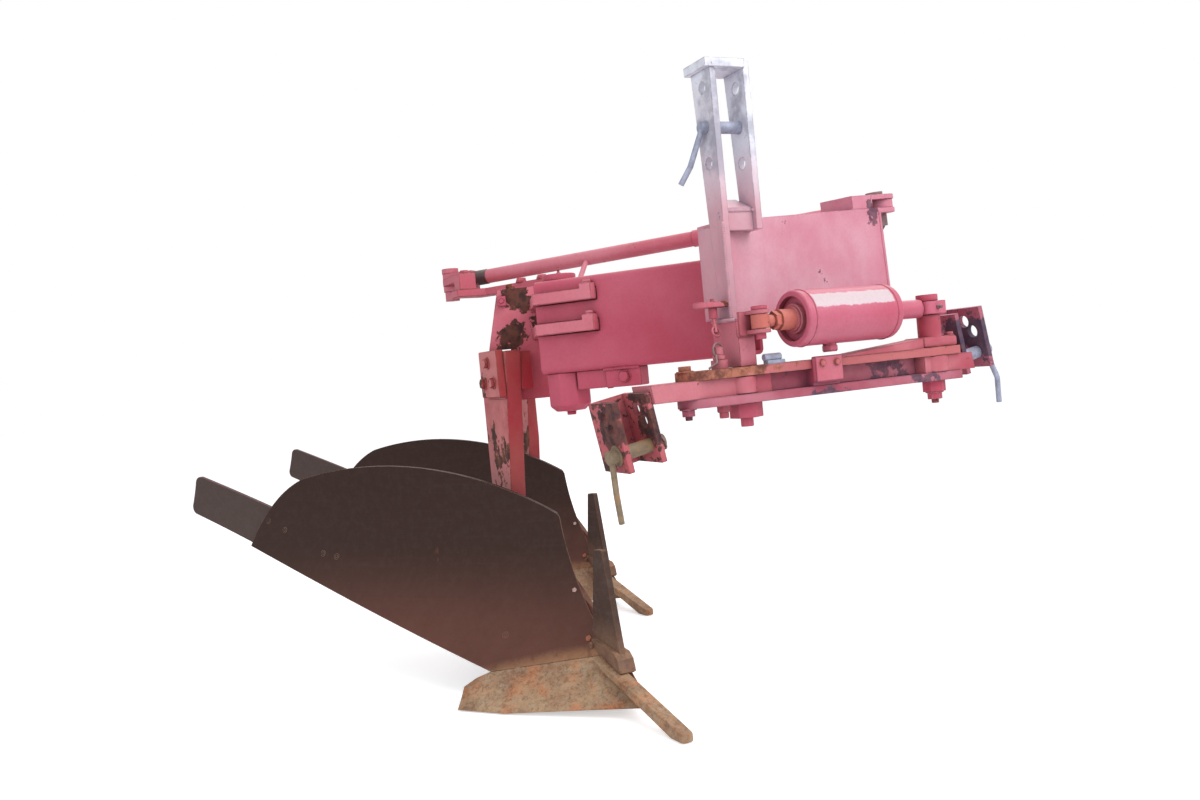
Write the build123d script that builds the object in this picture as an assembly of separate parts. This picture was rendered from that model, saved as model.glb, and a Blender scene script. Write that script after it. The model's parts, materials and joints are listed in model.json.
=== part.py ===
from build123d import *
import os
from math import atan2, cos, degrees, hypot, radians, sin, sqrt, tan

# A two-furrow mounted mouldboard plough with a swinging hitch bar, in millimetres and degrees.
# X points in the direction of travel, Y to the left side and Z up.
# It is modelled with the origin on the ground at the first chisel's point,
# and moved at the end so that the origin is the middle of its footprint.

# Clearances
SEAT_GAP = 0.3
PIN_FIT = 0.1
TURNING_GAP = 1.0

# Plough bodies: the second one stands behind and to the left of the first
BODY_NAMES = ("first", "second")
BODY_STEP = 950
FURROW_WIDTH = 420

# Mouldboard and share: plate rolled to one radius, its level lines at an angle to the travel
BOARD_ANGLE = 37
BOARD_RADIUS = 520
BOARD_FOOT_SLOPE = 28
BOARD_PLATE = 9
BOARD_SHIN_Y = -30
SHARE_LAND_Y = -24
SHARE_EDGE_Z = 2
JOINT_SEAM = 1

# Outline of the board, each point as (distance back along the board, height)
BOARD_JOINT_FRONT = (200, 110)
BOARD_JOINT_BACK = (527, 63)
BOARD_LOW_MIDDLE = (950, 170)
BOARD_TAIL_LOW = (1415, 324)
BOARD_TAIL_MIDDLE = (1349, 420)
BOARD_TAIL_TOP = (1215, 503)
BOARD_TOP_MIDDLE = (830, 521)
BOARD_SHIN_TOP = (415, 393)
BOARD_CORNER_RADIUS = 35

# Outline of the share, in the same two distances
SHARE_WING_BEND = (559, 50)
SHARE_WING_TOP = (579, 36)
SHARE_WING_TIP = (562, 2)
SHARE_HEEL = (440, 2)
SHARE_POINT = (60, 28)

# Tailpiece behind the board's tail
TAIL_LENGTH = 480
TAIL_WIDTH = 114
TAIL_PLATE = 10
TAIL_RISE = 20
TAIL_END = (1668, 422)
TAIL_CORNER = 22

# Chisel point
CHISEL_TIP_AT = (56, -33)
CHISEL_TURN = 3
CHISEL_TIP_WIDTH = 28
CHISEL_BACK_WIDTH = 40
CHISEL_NOSE_RADIUS = 10
CHISEL_LENGTH = 340
CHISEL_THICKNESS = 17
CHISEL_SLOPE = 14
CHISEL_WEAR_FLAT = 45

# Fin that stands before the shin, on a foot that caps the chisel
FIN_PLATE = 14
FIN_MIDDLE_Y = -32
FIN_FOOT_WIDTH = 38
FIN_CORNER = 6
FIN_BLADE = ((-343, 130), (-208, 118), (-252, 336), (-296, 332))
FIN_FOOT = (
    (-345, 132), (-212, 120), (-196, 108), (-188, 82), (-200, 76), (-300, 100), (-395, 122),
)

# Frog, landside and leg
FROG_PLATE = 18
FROG_BACKING = 18
LANDSIDE_PLATE = 14
LANDSIDE_HEIGHT = 105
LANDSIDE_FRONT = -318
LANDSIDE_REAR = -900
LEG_BACK = -795
LEG_THICKNESS = 40
LEG_RIGHT_Y = -87
LEG_BOTTOM = 190
LEG_BEND = 430
LEG_TOP = 792
LEG_LOW_DEPTH = 105
LEG_BEND_DEPTH = 140
LEG_TOP_DEPTH = 198
LEG_SEAT_TOP = 335
FROG_EDGE = ((-535, LEG_SEAT_TOP), (-487, 250), (-400, 205), (-150, 30))
FROG_BACK_PLATE = ((190, 70), (500, 40), (505, 290), (440, 290))
LEG_CAP_PLATE = 20
LEG_CAP_HEIGHT = 112
LEG_CAP_DEPTH = 130
LEG_CAP_SETBACK = 15
LEG_BLOCK_WIDTH = 32
LEG_BLOCK_HEIGHT = 95
STAY_BAR_RADIUS = 12
STAY_PAD_AT = (1120, 300)
STAY_PAD_SIZE = (100, 80)
STAY_PAD_PLATE = 8
STAY_LUG_DEPTH = 34
STAY_LUG_HEIGHT = 60

# Carrier beam, which holds both legs
CARRIER_FRONT = (-672, 19)
CARRIER_WIDTH = 100
CARRIER_BOTTOM = 695
CARRIER_TOP = 935
CARRIER_WALL = 10
CARRIER_OVERHANG = 110
END_PLATE = 14
END_PLATE_LEFT = 72
END_PLATE_BOTTOM = 667
END_PLATE_TOP = 948
END_PLATE_EDGE = ((-78, END_PLATE_TOP), (-112, 800), (-112, 797), (-58, 797), (-56, 720))

# Arm for the long stay: a plate on the carrier, a packer on it and the lug that enters the fork
ARM_PLATE = 20
ARM_BOTTOM = 960
ARM_OUTLINE = ((-95, 79), (-279, -130), (-250, -205), (-300, -228), (-360, -150), (-210, 79))
ARM_FILLER_INSET = 6
ARM_PACKER_HEIGHT = 24
ARM_PACKER_FRONT = 150
ARM_PACKER_LENGTH = 50
ARM_LUG_PLATE = 20
ARM_LUG_WIDTH = 48

# Main beam and its hinge to the carrier
HINGE_AT = (-497, 30)
BEAM_ANGLE = 41
BEAM_WIDTH = 120
BEAM_BOTTOM = 725
BEAM_TOP = 943
BEAM_WALL = 10
BEAM_END = 40
BEAM_REACH = 900
BEAM_CORNER = 14
BEAM_CORE_END = 140
EAR_REACH = 118
EAR_BACK = 30
EAR_HALF_WIDTH = 88
EAR_THICKNESS = 26
EAR_HEIGHTS = (816, 887)
EAR_KNOB_LENGTH = 28
EAR_KNOB_HEIGHT = 11
EAR_SLOT_GAP = 2
HINGE_PIN_RADIUS = 25
HINGE_HEAD_RADIUS = 40
HINGE_HEAD_HEIGHT = 16
BOSS_RADIUS = 52
BOSS_BOTTOM = 634
BOSS_CHAMFER = 14
LUG_START = 118
LUG_LENGTH = 88
LUG_WIDTH = 50
LUG_DEPTH = 44
LINK_WIDTH = 36
LINK_BOTTOM = 682

# Headstock box, set across the travel and rising to the left
HEAD_CORNER = (-18, 180)
HEAD_ANGLE = 17.4
HEAD_RISE = 4.4
HEAD_LENGTH = 628
HEAD_DEPTH = 100
HEAD_BOTTOM = 800
HEAD_HEIGHT = 202
HEAD_WALL = 10
HEAD_EAR_PLATE = 12
HEAD_EAR_GAP = 20.6
HEAD_EAR_WIDTH = 90
HEAD_EAR_REACH = 58
HEAD_EAR_ROOT = 110

# Long stay from the headstock's left end to the carrier's arm
STAY_EYE_THICKNESS = 20
STAY_EYE_RADIUS = 40
STAY_PIN_RADIUS = 13
STAY_TUBE_RADIUS = 20
STAY_NECK_RADIUS = 8.5
STAY_THREAD_RADIUS = 14
STAY_THREAD_FROM_EAR = 34
STAY_TUBE_START = 449
STAY_FRONT_THREAD = 540
STAY_REAR_THREAD = 150
STAY_TUBE_END_GAP = 21
STAY_ARM_AT = (-1135, -34)
FORK_PRONG = 16
FORK_WIDTH = 46
FORK_LENGTH = 80
FORK_THROAT = 62

# Mast
MAST_PLATE = 14
MAST_RIGHT_Y = 187
MAST_GAP = 66
MAST_FRONT = -2
MAST_TOP_WIDTH = 74
MAST_FOOT_WIDTH = 42
MAST_TOP = 1324
MAST_PIN_RADIUS = 12.5
MAST_PIN_DROP = 128
MAST_PIN_FROM_FRONT = 34
MAST_HOLE_DROPS = (48, 202)
MAST_NUT_RADIUS = 20
MAST_NUT_HEIGHT = 10
MAST_CAP_PLATE = 18
MAST_CAP_DROP = 14
MAST_GUSSET_HEIGHT = 42

# Column under the mast and the pivot pin of the hitch bar
COLUMN_BACK = -57
COLUMN_FRONT = 38
COLUMN_RIGHT_Y = 172
COLUMN_WIDTH = 38
COLUMN_HEIGHT = 95
PIVOT_AT = (5, 196)
PIVOT_RADIUS = 20
PIVOT_NUT_RADIUS = 34
PIVOT_NUT_HEIGHT = 30

# Hitch bar: two plates with the right arm, a spacer and the left arm between them
BAR_PLATE = 18
BAR_LOWER = 632
BAR_SPACE = 36
BAR_HALF_WIDTH = 52
BAR_RIGHT_END = 98
BAR_LEFT_END = 715
ARM_HALF_WIDTH = 40
WEB_HALF_WIDTH = 30
SPACER_AT = 362
SPACER_SIZE = 68
PAD_DEPTH = 14
PAD_HEIGHT = 52
PAD_ABOVE_BAR = 6
POST_AT = (38, 662)
POST_RADIUS = 25
POST_PIN_RADIUS = 15
POST_HEAD_HEIGHT = 14

# Lower link clevises
CLEVIS_PLATE = 12
CLEVIS_GAP = 60
CLEVIS_BACK = -62
CLEVIS_FRONT = 46
CLEVIS_HEIGHT = 138
CLEVIS_ROLL = 10
CLEVIS_RIGHT = (-8, -66, 600)
CLEVIS_LEFT = (-8, 790, 711)
LINK_PIN_RADIUS = 14
LINK_PIN_AT = (14, -34)
LINK_HOLES_AT = ((14, 14), (-6, 38))
LINK_PIN_HEAD = 22
LINK_PIN_END = 26
HANDLE_RADIUS = 6

# Hydraulic cylinder between the column and the left post
CYLINDER_Z = 790
ROD_PIN_AT = (68, 206)
ROD_PIN_RADIUS = 10
ROD_EYE_RADIUS = 18
ROD_EYE_PLAY = 2
ROD_EYE_THICKNESS = 28
ROD_NUT_RADIUS = 19
ROD_NUT_LENGTH = 13
ROD_RADIUS = 21
ROD_NECK_RADIUS = 12
ROD_START = 30
ROD_INSIDE = 150
PISTON_LENGTH = 30
BARREL_RADIUS = 57
BARREL_BORE = 40
BARREL_START = 80
BARREL_LENGTH = 252
GLAND_DEPTH = 12
NECK_RADIUS = 20
PORT_AT = 172
PORT_RADIUS = 14
PORT_LENGTH = 16
BASE_EYE_RADIUS = 30
BASE_EYE_CORNER = 10
BASE_EYE_THICKNESS = 28
BRACKET_PLATE = 8
BRACKET_RIM = 10
BRACKET_TOP_PLATE = 8

# The largest distance that a trimming solid has to reach
FAR = 2600

bodies = {"plough": {}, "hitch_bar": {}, "barrel": {}, "rod": {}}


def turned(x, y, z=0, turn=0):
    """A place on the plan, turned about the vertical."""
    return Location((x, y, z), (0, 0, turn))


def slab(x_span, y_span, z_span):
    """A block given by its lowest and highest x, y and z."""
    (x0, x1), (y0, y1), (z0, z1) = x_span, y_span, z_span
    return Pos((x0 + x1) / 2, (y0 + y1) / 2, (z0 + z1) / 2) * Box(x1 - x0, y1 - y0, z1 - z0)


def post(x, y, z0, z1, radius):
    """An upright round bar between two heights."""
    return Pos(x, y, (z0 + z1) / 2) * Cylinder(radius, z1 - z0)


def upright_plate(face, y0, y1):
    """A plate in the travel plane, from a flat face in x and z, between two values of y."""
    return Pos(0, y1, 0) * extrude(Plane.XZ * face, y1 - y0)


def side_profile(points, y0, y1):
    """A plate in the travel plane, from (x, z) points, between two values of y."""
    return upright_plate(polygon(*points), y0, y1)


def bar_between(start, end, radius):
    """A round bar from one point to another."""
    reach = Vector(end) - Vector(start)
    return extrude(Plane(origin=start, z_dir=reach) * Circle(radius), reach.length)


def across_bar(x, y0, y1, z, radius):
    """A round bar across the travel, between two values of y."""
    return Pos(x, (y0 + y1) / 2, z) * Rot(90, 0, 0) * Cylinder(radius, y1 - y0)


def polygon(*points):
    """A flat face with straight edges."""
    return make_face(Polyline(*points, close=True))


def largest(shape):
    """The biggest solid of what a cut has left."""
    return max(shape.solids(), key=lambda solid: solid.volume)


# The board's own directions: along it to the rear, and away from the furrow
ALONG = Vector(-cos(radians(BOARD_ANGLE)), -sin(radians(BOARD_ANGLE)), 0)
AWAY = Vector(-sin(radians(BOARD_ANGLE)), cos(radians(BOARD_ANGLE)), 0)
BOARD_SIDE = Plane(origin=(0, 0, 0), x_dir=AWAY, z_dir=-ALONG)
BOARD_FACE = Plane(origin=(0, 0, 0), x_dir=ALONG, z_dir=AWAY)
FOOT_SLOPE = radians(BOARD_FOOT_SLOPE)
BOARD_CENTRE = (-BOARD_RADIUS * sin(FOOT_SLOPE), BOARD_RADIUS * cos(FOOT_SLOPE))


def rolled(radius):
    """The solid inside the rolled surface of one radius."""
    circle = Pos(*BOARD_CENTRE) * Circle(radius)
    return extrude(BOARD_SIDE.offset(-FAR) * circle, 2 * FAR)


def rolled_plate(outline, depth, thickness):
    """A plate on the rolled surface, cut to a flat outline, its face a depth behind the board's."""
    reach = extrude(BOARD_FACE.offset(-BOARD_RADIUS / 3) * outline, BOARD_RADIUS)
    inner = BOARD_RADIUS + depth
    return (rolled(inner + thickness) & reach) - rolled(inner)


def beside_land(y):
    """All the space on the furrow side of a plane."""
    return slab((-FAR, FAR), (-FAR, y), (-FAR, FAR))


def chisel(grow=0):
    """The chisel point, or the space that it needs."""
    rise = tan(radians(CHISEL_SLOPE))
    top = CHISEL_THICKNESS
    back_top = top + CHISEL_LENGTH * rise
    points = [
        (grow, -grow),
        (-CHISEL_WEAR_FLAT, -grow),
        (-CHISEL_LENGTH + 7 - grow, back_top - top + 2 - grow),
        (-CHISEL_LENGTH - grow, back_top + grow),
        (grow, top + grow),
    ]
    half_tip = CHISEL_TIP_WIDTH / 2 + grow
    half_back = CHISEL_BACK_WIDTH / 2 + grow
    back = -CHISEL_LENGTH - grow
    plan = polygon((back, -half_back), (grow, -half_tip), (grow, half_tip), (back, half_back))
    plan = fillet(plan.vertices().group_by(Axis.X)[-1], CHISEL_NOSE_RADIUS)
    shape = side_profile(points, -half_back, half_back) & extrude(Pos(0, 0, -1) * plan, back_top + 2)
    return turned(*CHISEL_TIP_AT, 0, CHISEL_TURN) * shape


def fin(grow=0):
    """The fin and its foot, or the space that they need."""
    blade = polygon(*FIN_BLADE)
    blade = fillet(blade.vertices().group_by(Axis.Y)[-1] + blade.vertices().group_by(Axis.Y)[-2], FIN_CORNER)
    foot = polygon(*FIN_FOOT)
    if grow:
        blade = offset(blade, grow, kind=Kind.INTERSECTION)
        foot = offset(foot, grow, kind=Kind.INTERSECTION)
    half_blade = FIN_PLATE / 2 + grow
    half_foot = FIN_FOOT_WIDTH / 2 + grow
    upright = upright_plate(blade, FIN_MIDDLE_Y - half_blade, FIN_MIDDLE_Y + half_blade)
    base = upright_plate(foot, FIN_MIDDLE_Y - half_foot, FIN_MIDDLE_Y + half_foot)
    return upright + base


def board_outline():
    """The mouldboard's outline, seen square on."""
    outline = make_face(
        Line(BOARD_JOINT_FRONT, BOARD_JOINT_BACK)
        + ThreePointArc(BOARD_JOINT_BACK, BOARD_LOW_MIDDLE, BOARD_TAIL_LOW)
        + ThreePointArc(BOARD_TAIL_LOW, BOARD_TAIL_MIDDLE, BOARD_TAIL_TOP)
        + ThreePointArc(BOARD_TAIL_TOP, BOARD_TOP_MIDDLE, BOARD_SHIN_TOP)
        + Line(BOARD_SHIN_TOP, BOARD_JOINT_FRONT)
    )
    corner = outline.vertices().sort_by_distance(Vector(*BOARD_SHIN_TOP, 0))[0]
    return fillet(corner, BOARD_CORNER_RADIUS)


def share_outline():
    """The share's outline, seen square on."""
    front = (BOARD_JOINT_FRONT[0], BOARD_JOINT_FRONT[1] - JOINT_SEAM)
    back = (BOARD_JOINT_BACK[0], BOARD_JOINT_BACK[1] - JOINT_SEAM)
    return polygon(
        front, back, SHARE_WING_BEND, SHARE_WING_TOP, SHARE_WING_TIP, SHARE_HEEL, SHARE_POINT,
        (SHARE_POINT[0], front[1]),
    )


def tail_outline():
    """The tailpiece's outline, a straight strip that rises to the rear."""
    rise = radians(TAIL_RISE)
    along = (TAIL_LENGTH * cos(rise), TAIL_LENGTH * sin(rise))
    across = (-TAIL_WIDTH * sin(rise), TAIL_WIDTH * cos(rise))
    x, z = TAIL_END
    outline = polygon(
        (x, z),
        (x + across[0], z + across[1]),
        (x + across[0] - along[0], z + across[1] - along[1]),
        (x - along[0], z - along[1]),
    )
    return fillet(outline.vertices().sort_by(Axis.X)[-2:], TAIL_CORNER)


def plough_body():
    """The pieces of one plough body, at the first body's place."""
    leg_left = LEG_RIGHT_Y + LEG_THICKNESS
    chisel_space = chisel(SEAT_GAP)
    fin_space = fin(SEAT_GAP)
    behind = rolled(BOARD_RADIUS + BOARD_PLATE + SEAT_GAP)

    board = rolled_plate(board_outline(), 0, BOARD_PLATE) & beside_land(BOARD_SHIN_Y)
    board = board - fin_space - chisel_space
    share = rolled_plate(share_outline(), 0, BOARD_PLATE) & beside_land(SHARE_LAND_Y)
    share = share & slab((-FAR, FAR), (-FAR, FAR), (SHARE_EDGE_Z, FAR))
    share = share - fin_space - chisel_space
    share = largest(share)
    tail = rolled_plate(tail_outline(), BOARD_PLATE + SEAT_GAP, TAIL_PLATE)

    side_back = LEG_BACK - 15
    side = side_profile(
        [
            (side_back + 70, 30), (side_back, 110), (side_back, LEG_SEAT_TOP - 35),
            (side_back + 35, LEG_SEAT_TOP), *FROG_EDGE,
        ],
        BOARD_SHIN_Y, BOARD_SHIN_Y + FROG_PLATE,
    )
    backing = rolled_plate(polygon(*FROG_BACK_PLATE), BOARD_PLATE + SEAT_GAP, FROG_BACKING)
    backing = backing & beside_land(BOARD_SHIN_Y + FROG_PLATE)
    seat_x = (LEG_BACK - 12, LEG_BACK + LEG_BEND_DEPTH)
    seat = slab(seat_x, (leg_left, BOARD_SHIN_Y), (LEG_BOTTOM - 10, LEG_SEAT_TOP))
    frog = (side + backing + seat) - behind - chisel_space - fin_space
    frog = largest(frog)

    land_right = BOARD_SHIN_Y + FROG_PLATE
    landside = side_profile(
        [
            (LANDSIDE_FRONT, 0), (LANDSIDE_REAR + 18, 0), (LANDSIDE_REAR, 22),
            (LANDSIDE_REAR, LANDSIDE_HEIGHT - 12), (LANDSIDE_REAR + 14, LANDSIDE_HEIGHT),
            (LANDSIDE_FRONT - 70, LANDSIDE_HEIGHT), (LANDSIDE_FRONT, LANDSIDE_HEIGHT - 25),
        ],
        land_right, land_right + LANDSIDE_PLATE,
    )
    leg = side_profile(
        [
            (LEG_BACK, LEG_BOTTOM), (LEG_BACK, LEG_TOP), (LEG_BACK + LEG_TOP_DEPTH, LEG_TOP),
            (LEG_BACK + LEG_BEND_DEPTH, LEG_BEND), (LEG_BACK + LEG_LOW_DEPTH, LEG_BOTTOM),
        ],
        LEG_RIGHT_Y, leg_left,
    )
    cap_front = LEG_BACK + LEG_TOP_DEPTH - LEG_CAP_SETBACK
    cap = slab(
        (cap_front - LEG_CAP_DEPTH, cap_front),
        (LEG_RIGHT_Y - LEG_CAP_PLATE, LEG_RIGHT_Y),
        (LEG_TOP - LEG_CAP_HEIGHT, LEG_TOP + 4),
    )

    pad_x, pad_z = STAY_PAD_AT
    depth = BOARD_PLATE + SEAT_GAP
    pad = rolled_plate(Pos(pad_x, pad_z) * Rectangle(*STAY_PAD_SIZE), depth, STAY_PAD_PLATE)
    back_radius = BOARD_RADIUS + depth + STAY_PAD_PLATE / 2
    away = sqrt(back_radius ** 2 - (BOARD_CENTRE[1] - pad_z) ** 2) + BOARD_CENTRE[0]
    foot = ALONG * pad_x + AWAY * away + Vector(0, 0, pad_z)
    lug_z = (pad_z - STAY_LUG_HEIGHT / 2, pad_z + STAY_LUG_HEIGHT / 2)
    lug = slab((LEG_BACK - STAY_LUG_DEPTH, LEG_BACK), (LEG_RIGHT_Y, leg_left), lug_z)
    head = Vector(LEG_BACK - STAY_LUG_DEPTH / 2, (LEG_RIGHT_Y + leg_left) / 2, pad_z)
    stay = (pad + lug + bar_between(head, foot, STAY_BAR_RADIUS)) - behind
    return {
        "share": share, "mouldboard": board, "tailpiece": tail,
        "chisel_point": chisel(), "fin": fin() - chisel_space,
        "frog": frog, "landside": landside, "leg": leg, "leg_cap": cap, "board_stay": stay,
    }


def leg_block(shift, carrier):
    """The wedge between a leg and the carrier's slanting side."""
    z1 = LEG_TOP - 4
    front = LEG_BACK + LEG_TOP_DEPTH - LEG_CAP_SETBACK
    leg_left = LEG_RIGHT_Y + LEG_THICKNESS
    z_span = (z1 - LEG_BLOCK_HEIGHT, z1)
    block = slab((LEG_BACK + 4, front), (leg_left, leg_left + LEG_BLOCK_WIDTH), z_span)
    block = block + slab((LEG_BACK + 4, CARRIER_FRONT[0] - 30), (leg_left, leg_left + 90), z_span)
    return max((Pos(shift) * block - carrier).solids(), key=lambda solid: -solid.center().Y)


def add_plough_bodies():
    """Both bodies, each piece a node of its own."""
    shift = Vector(-BODY_STEP, FURROW_WIDTH, 0)
    pieces = plough_body()
    for number, name in enumerate(BODY_NAMES):
        for piece, shape in pieces.items():
            bodies["plough"][f"{name}_{piece}"] = Pos(shift * number) * shape


BAR_MIDDLE = BAR_LOWER + BAR_PLATE
BAR_UPPER = BAR_MIDDLE + BAR_SPACE
BAR_TOP = BAR_UPPER + BAR_PLATE
MAST_FOOT = BAR_TOP + TURNING_GAP + COLUMN_HEIGHT
CARRIER_TURN = degrees(atan2(-FURROW_WIDTH, BODY_STEP))
CARRIER_LENGTH = hypot(BODY_STEP, FURROW_WIDTH) + CARRIER_OVERHANG
CARRIER_FRAME = turned(*CARRIER_FRONT, 0, CARRIER_TURN)
BEAM_FRAME = turned(*HINGE_AT, 0, BEAM_ANGLE)
ARM_LUG_BOTTOM = ARM_BOTTOM + ARM_PLATE + ARM_PACKER_HEIGHT


def in_carrier(x, y):
    """A place on the plan in the carrier's own directions."""
    turn = radians(CARRIER_TURN)
    dx, dy = x - CARRIER_FRONT[0], y - CARRIER_FRONT[1]
    return dx * cos(turn) + dy * sin(turn), dy * cos(turn) - dx * sin(turn)


def add_carrier():
    """The carrier beam, its end plates, its arm for the stay and the ears of its hinge."""
    half = CARRIER_WIDTH / 2
    outer = slab((-CARRIER_LENGTH, 0), (-half, half), (CARRIER_BOTTOM, CARRIER_TOP))
    inner = slab(
        (-CARRIER_LENGTH - 1, 1),
        (CARRIER_WALL - half, half - CARRIER_WALL),
        (CARRIER_BOTTOM + CARRIER_WALL, CARRIER_TOP - CARRIER_WALL),
    )
    front_face = polygon(
        (END_PLATE_LEFT, END_PLATE_BOTTOM), (END_PLATE_LEFT, END_PLATE_TOP),
        *END_PLATE_EDGE, (-half, END_PLATE_BOTTOM),
    )
    front = extrude(Plane.YZ * front_face, END_PLATE)
    rear_x = (-CARRIER_LENGTH - END_PLATE, -CARRIER_LENGTH)
    rear = slab(rear_x, (-half, half), (CARRIER_BOTTOM, CARRIER_TOP))
    bodies["plough"]["carrier_beam"] = CARRIER_FRAME * ((outer - inner) + rear)

    hinge_x, hinge_y = in_carrier(*HINGE_AT)
    strap = Rectangle(EAR_BACK + EAR_REACH, 2 * EAR_HALF_WIDTH)
    strap = turned(hinge_x, hinge_y, 0, BEAM_ANGLE - CARRIER_TURN) * Pos((EAR_REACH - EAR_BACK) / 2, 0) * strap
    root_left, root_right = strap.vertices().sort_by_distance(Vector(END_PLATE, 0, 0))[:2]
    root = polygon(
        (END_PLATE / 2, 0), (END_PLATE / 2, END_PLATE_LEFT),
        (root_left.X, root_left.Y), (root_right.X, root_right.Y),
    )
    outline = root + strap - Pos(hinge_x, hinge_y) * Circle(HINGE_PIN_RADIUS + PIN_FIT)
    knob_x = (EAR_REACH - EAR_KNOB_LENGTH, EAR_REACH)
    knob_y = BEAM_WIDTH / 2 + EAR_SLOT_GAP
    ears = CARRIER_FRAME * front
    for z in EAR_HEIGHTS:
        top = z + EAR_THICKNESS
        ears = ears + CARRIER_FRAME * Pos(0, 0, z) * extrude(outline, EAR_THICKNESS)
        for y_span in ((knob_y, EAR_HALF_WIDTH), (-EAR_HALF_WIDTH, -knob_y)):
            ears = ears + BEAM_FRAME * slab(knob_x, y_span, (top, top + EAR_KNOB_HEIGHT))
    bodies["plough"]["carrier_hinge_ears"] = ears

    arm_top = ARM_BOTTOM + ARM_PLATE
    plate = polygon(*ARM_OUTLINE)
    inset = half - ARM_FILLER_INSET
    strip = polygon((0, -inset), (0, inset), (-CARRIER_LENGTH, inset), (-CARRIER_LENGTH, -inset))
    arm = Pos(0, 0, ARM_BOTTOM) * extrude(plate, ARM_PLATE)
    arm = arm + Pos(0, 0, CARRIER_TOP) * extrude(plate & strip, ARM_BOTTOM - CARRIER_TOP)
    lug_x, lug_y = STAY_ARM_AT
    packer_x = (lug_x + ARM_PACKER_FRONT - ARM_PACKER_LENGTH, lug_x + ARM_PACKER_FRONT)
    lug_half = ARM_LUG_WIDTH / 2
    lug_span = (lug_y - lug_half, lug_y + lug_half)
    lug_top = ARM_LUG_BOTTOM + ARM_LUG_PLATE
    lug = slab((lug_x, packer_x[1]), lug_span, (ARM_LUG_BOTTOM, lug_top))
    lug = lug + post(lug_x, lug_y, ARM_LUG_BOTTOM, lug_top, lug_half)
    lug = lug - post(lug_x, lug_y, 0, FAR, STAY_PIN_RADIUS + PIN_FIT)
    packer = slab(packer_x, lug_span, (arm_top, ARM_LUG_BOTTOM))
    bodies["plough"]["carrier_arm"] = CARRIER_FRAME * arm + packer + lug

    near_side = slab((-CARRIER_LENGTH - END_PLATE, END_PLATE), (-half, FAR), (0, FAR))
    plate_side = slab((-1, END_PLATE), (END_PLATE_EDGE[3][0] - 1, FAR), (0, FAR))
    carrier_space = CARRIER_FRAME * (near_side + plate_side)
    for number, name in enumerate(BODY_NAMES):
        shift = Vector(-BODY_STEP, FURROW_WIDTH, 0) * number
        bodies["plough"][f"{name}_leg_block"] = leg_block(shift, carrier_space)
        bodies["plough"][f"{name}_leg"] = bodies["plough"][f"{name}_leg"] - carrier_space


HEAD_FRAME = turned(*HEAD_CORNER, HEAD_BOTTOM, HEAD_ANGLE) * Rot(HEAD_RISE, 0, 0)


def add_main_beam():
    """The oblique beam with its hinge pin, and the link under it."""
    half = BEAM_WIDTH / 2
    box = slab((-BEAM_END, BEAM_REACH), (-half, half), (BEAM_BOTTOM, BEAM_TOP))
    box = fillet(box.edges().filter_by(Axis.X), BEAM_CORNER)
    inside = ((BEAM_WALL - half, half - BEAM_WALL), (BEAM_BOTTOM + BEAM_WALL, BEAM_TOP - BEAM_WALL))
    inner = slab((-BEAM_END - 1, BEAM_REACH), *inside)
    core = slab((-BEAM_END, BEAM_CORE_END), *inside)
    beam = (box - inner) + core
    for z in EAR_HEIGHTS:
        low, high = z - EAR_SLOT_GAP, z + EAR_THICKNESS + EAR_SLOT_GAP
        slot_x = (-BEAM_END - 1, EAR_REACH + EAR_SLOT_GAP)
        beam = beam - slab(slot_x, (-half - 1, half + 1), (low, high))
    beam = beam - post(0, 0, BEAM_BOTTOM - 1, BEAM_TOP + 1, HINGE_PIN_RADIUS + PIN_FIT)
    behind_head = HEAD_FRAME * slab((-HEAD_DEPTH, FAR), (-FAR, FAR), (-FAR, FAR))
    beam = BEAM_FRAME * beam - behind_head
    bodies["plough"]["main_beam"] = largest(beam)

    pin = post(0, 0, BOSS_BOTTOM + 10, BEAM_TOP, HINGE_PIN_RADIUS)
    pin = pin + post(0, 0, BEAM_TOP, BEAM_TOP + HINGE_HEAD_HEIGHT, HINGE_HEAD_RADIUS)
    boss = Pos(0, 0, BOSS_BOTTOM) * extrude(RegularPolygon(BOSS_RADIUS, 8), BEAM_BOTTOM - BOSS_BOTTOM)
    boss = chamfer(boss.edges().group_by(Axis.Z)[0], BOSS_CHAMFER)
    bodies["plough"]["beam_hinge_pin"] = BEAM_FRAME * (pin + boss)

    lug = slab((LUG_START, LUG_START + LUG_LENGTH), (-LUG_WIDTH, 0), (BEAM_BOTTOM - LUG_DEPTH, BEAM_BOTTOM))
    link_y = (-LUG_WIDTH / 2 - LINK_WIDTH / 2, LINK_WIDTH / 2 - LUG_WIDTH / 2)
    link = slab((BOSS_RADIUS - 10, LUG_START), link_y, (LINK_BOTTOM, BEAM_BOTTOM))
    link = link - extrude(RegularPolygon(BOSS_RADIUS + SEAT_GAP, 8), FAR)
    bodies["plough"]["beam_link"] = BEAM_FRAME * (lug + link)


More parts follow.
